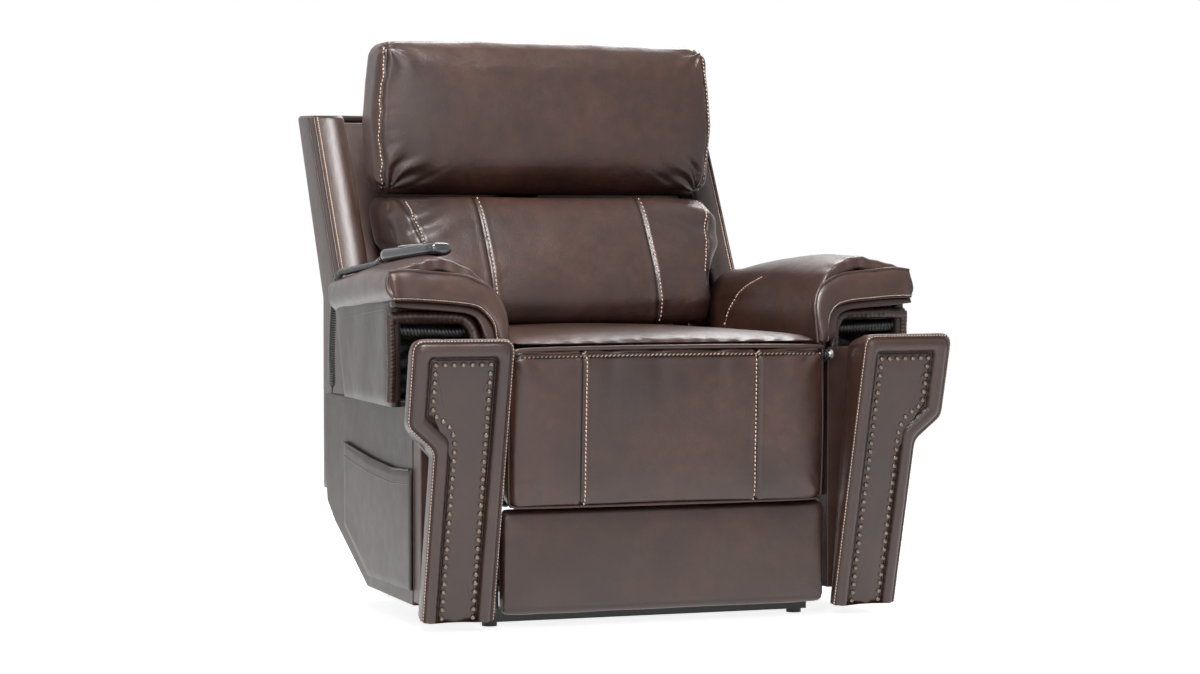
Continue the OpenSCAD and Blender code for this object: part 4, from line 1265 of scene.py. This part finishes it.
def handset_places():
    turned = Matrix.Translation(HANDSET_AT) @ Matrix.Rotation(HANDSET_TURN, 4, "Z")
    return turned @ Matrix.Rotation(HANDSET_TILT, 4, "X")


def make_handset():
    frame_of = handset_places()

    def shell(a, t):
        y = -86 + 172 * t
        end = math.sqrt(max(0, 1 - max(0, (abs(y) - 66) / 20.5) ** 2))
        half = (24.5 - 2.5 * t) * (0.5 + 0.5 * end)
        thick = 12.4 * (0.45 + 0.55 * end)
        turn = math.tau * a
        c, s = math.cos(turn), math.sin(turn)
        x = math.copysign(abs(c) ** 0.6, c) * half
        z = math.copysign(abs(s) ** 0.75, s) * thick + 12.8 + 1.5 * math.cos(math.pi * t)
        return frame_of @ Vector((x, y, z))
    obj = finish_piece("handset_shell", sleeve(40, 60, shell), GLOSSY, "chair",
                       replaces=["handset_base", "handset_cover"], recalc=True)
    # Painted highlight: a bright silver line round the handset's top edge stands in for the light along its
    # rim.
    line = []
    for a in np.linspace(0, math.tau, 60):
        line.append(tuple((frame_of @ Vector((23.4 * math.cos(a), -14 + 56 * math.sin(a), 23.8))) * MM))
    cordage("handset_rim_highlight_line", line, 0.9, RIM_HIGHLIGHT_SILVER, "chair")

    def relief(a, t):
        reach, turn = 5.5 - 2.6 * t, math.tau * a
        return frame_of @ Vector((reach * math.cos(turn), 80 + 14 * t, 6.5 + reach * math.sin(turn)))
    finish_piece("handset_cord_relief", sleeve(16, 8, relief), BLACK_PLASTIC, "chair",
                 recalc=True)
    return obj


# ---- frame finishes, floor and light ----

CAD_FINISHES = [
    (BLACK_STEEL, ["base_rail_left", "base_rail_right", "base_front_bar", "base_rear_bar", "base_lugs",
                   "lift_arm_left", "lift_arm_right", "lift_cross_tube", "front_link_left",
                   "front_link_right", "mech_plate_left", "mech_plate_right", "back_brackets",
                   "headrest_plate", "ottoman_slides", "footrest_upper_links", "footrest_lower_links"]),
    (ZINC, ["mech_pins", "lift_rod", "recline_rod", "seat_springs"]),
    (BLACK_PLASTIC, ["floor_glides", "lift_motor", "recline_motor", "power_box", "control_box",
                     "headrest_motor"]),
    (PINE, ["rear_cross_rail", "back_frame"]),
    (LINING, ["front_cross_rail", "footrest_board"]),
    (KEYS, ["key_one", "key_two", "key_three", "key_four"]),
]


def finish_frame():
    for finish, names in CAD_FINISHES:
        for name in names:
            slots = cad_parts[name].data.materials
            slots.clear()
            slots.append(finish)


def room_rays(tree):
    """1 for the rays that see the white room, and 0 for those that only light."""
    seen = node(tree, "ShaderNodeLightPath").outputs
    mirrored = maths(tree, "MAXIMUM", seen["Is Glossy Ray"], seen["Is Transmission Ray"])
    return maths(tree, "MAXIMUM", seen["Is Camera Ray"], mirrored)


def make_floor():
    bm = bmesh.new()
    bmesh.ops.create_grid(bm, x_segments=1, y_segments=1, size=8)
    mesh = bpy.data.meshes.new("floor")
    bm.to_mesh(mesh)
    bm.free()
    floor = new_object("floor", mesh)
    material, tree, shader = new_material("pale floor", rough=0.9, specular=0.1)
    shader.inputs["Base Color"].default_value = (0.86, 0.86, 0.86, 1)
    visible = room_rays(tree)
    glow = node(tree, "ShaderNodeEmission", {"Color": (1, 1, 1, 1), "Strength": 0.84})
    dark = node(tree, "ShaderNodeEmission", {"Strength": 0.0})
    chosen = node(tree, "ShaderNodeMixShader", {0: visible, 1: dark.outputs[0], 2: glow.outputs[0]})
    both = node(tree, "ShaderNodeAddShader", {0: shader.outputs[0], 1: chosen.outputs[0]})
    tree.links.new(both.outputs[0], tree.nodes["Material Output"].inputs["Surface"])
    mesh.materials.append(material)


def make_world():
    world = bpy.data.worlds.new("room")
    scene.world = world
    world.use_nodes = True
    tree = world.node_tree
    tree.nodes.clear()
    visible = room_rays(tree)
    room = node(tree, "ShaderNodeBackground", {"Color": (0.96, 0.98, 1.0, 1), "Strength": 0.22})
    white = node(tree, "ShaderNodeBackground", {"Color": (1, 1, 1, 1), "Strength": 1.0})
    chosen = node(tree, "ShaderNodeMixShader", {0: visible, 1: room.outputs[0], 2: white.outputs[0]})
    output = tree.nodes.new("ShaderNodeOutputWorld")
    tree.links.new(chosen.outputs[0], output.inputs["Surface"])


def softbox(name, place, aim, size, power):
    light = bpy.data.lights.new(name, "AREA")
    light.shape, light.size, light.size_y, light.energy = "RECTANGLE", size[0], size[1], power
    obj = new_object(name, light)
    obj.location = place
    obj.rotation_euler = (Vector(aim) - Vector(place)).to_track_quat("-Z", "Y").to_euler()


# name, place, aim, size and power in watts
LAMPS = [
    ("overhead", (-0.8, -1.15, 2.9), (-0.1, -0.1, 0.7), (1.0, 0.9), 130),
    ("behind", (1.3, 2.1, 2.8), (0, -0.2, 0.5), (1.5, 1.0), 48),
    ("front", (0.1, -4.6, 1.5), (0, -0.3, 0.45), (2.4, 1.3), 17),
    ("front left", (-1.9, -4.1, 1.9), (-0.2, -0.3, 0.45), (0.8, 1.3), 52),
    ("left", (-4.2, -0.9, 1.9), (-0.4, 0, 0.4), (1.2, 1.6), 10),
]

make_handset()
make_seat()
make_chaise()
make_lower_panel()
make_back_cushion()
make_headrest()
make_back_shell()
for label, direction in SIDES:
    make_wing(label, direction)
    make_arm_cover(label, direction)
    make_arm_front(label, direction)
    make_arm_box(label, direction)
    make_recess(label, direction)
    make_front_board(label, direction)
    make_post(label, direction)
    make_side(label, direction)
finish_frame()
make_floor()
make_world()
for lamp in LAMPS:
    softbox(*lamp)
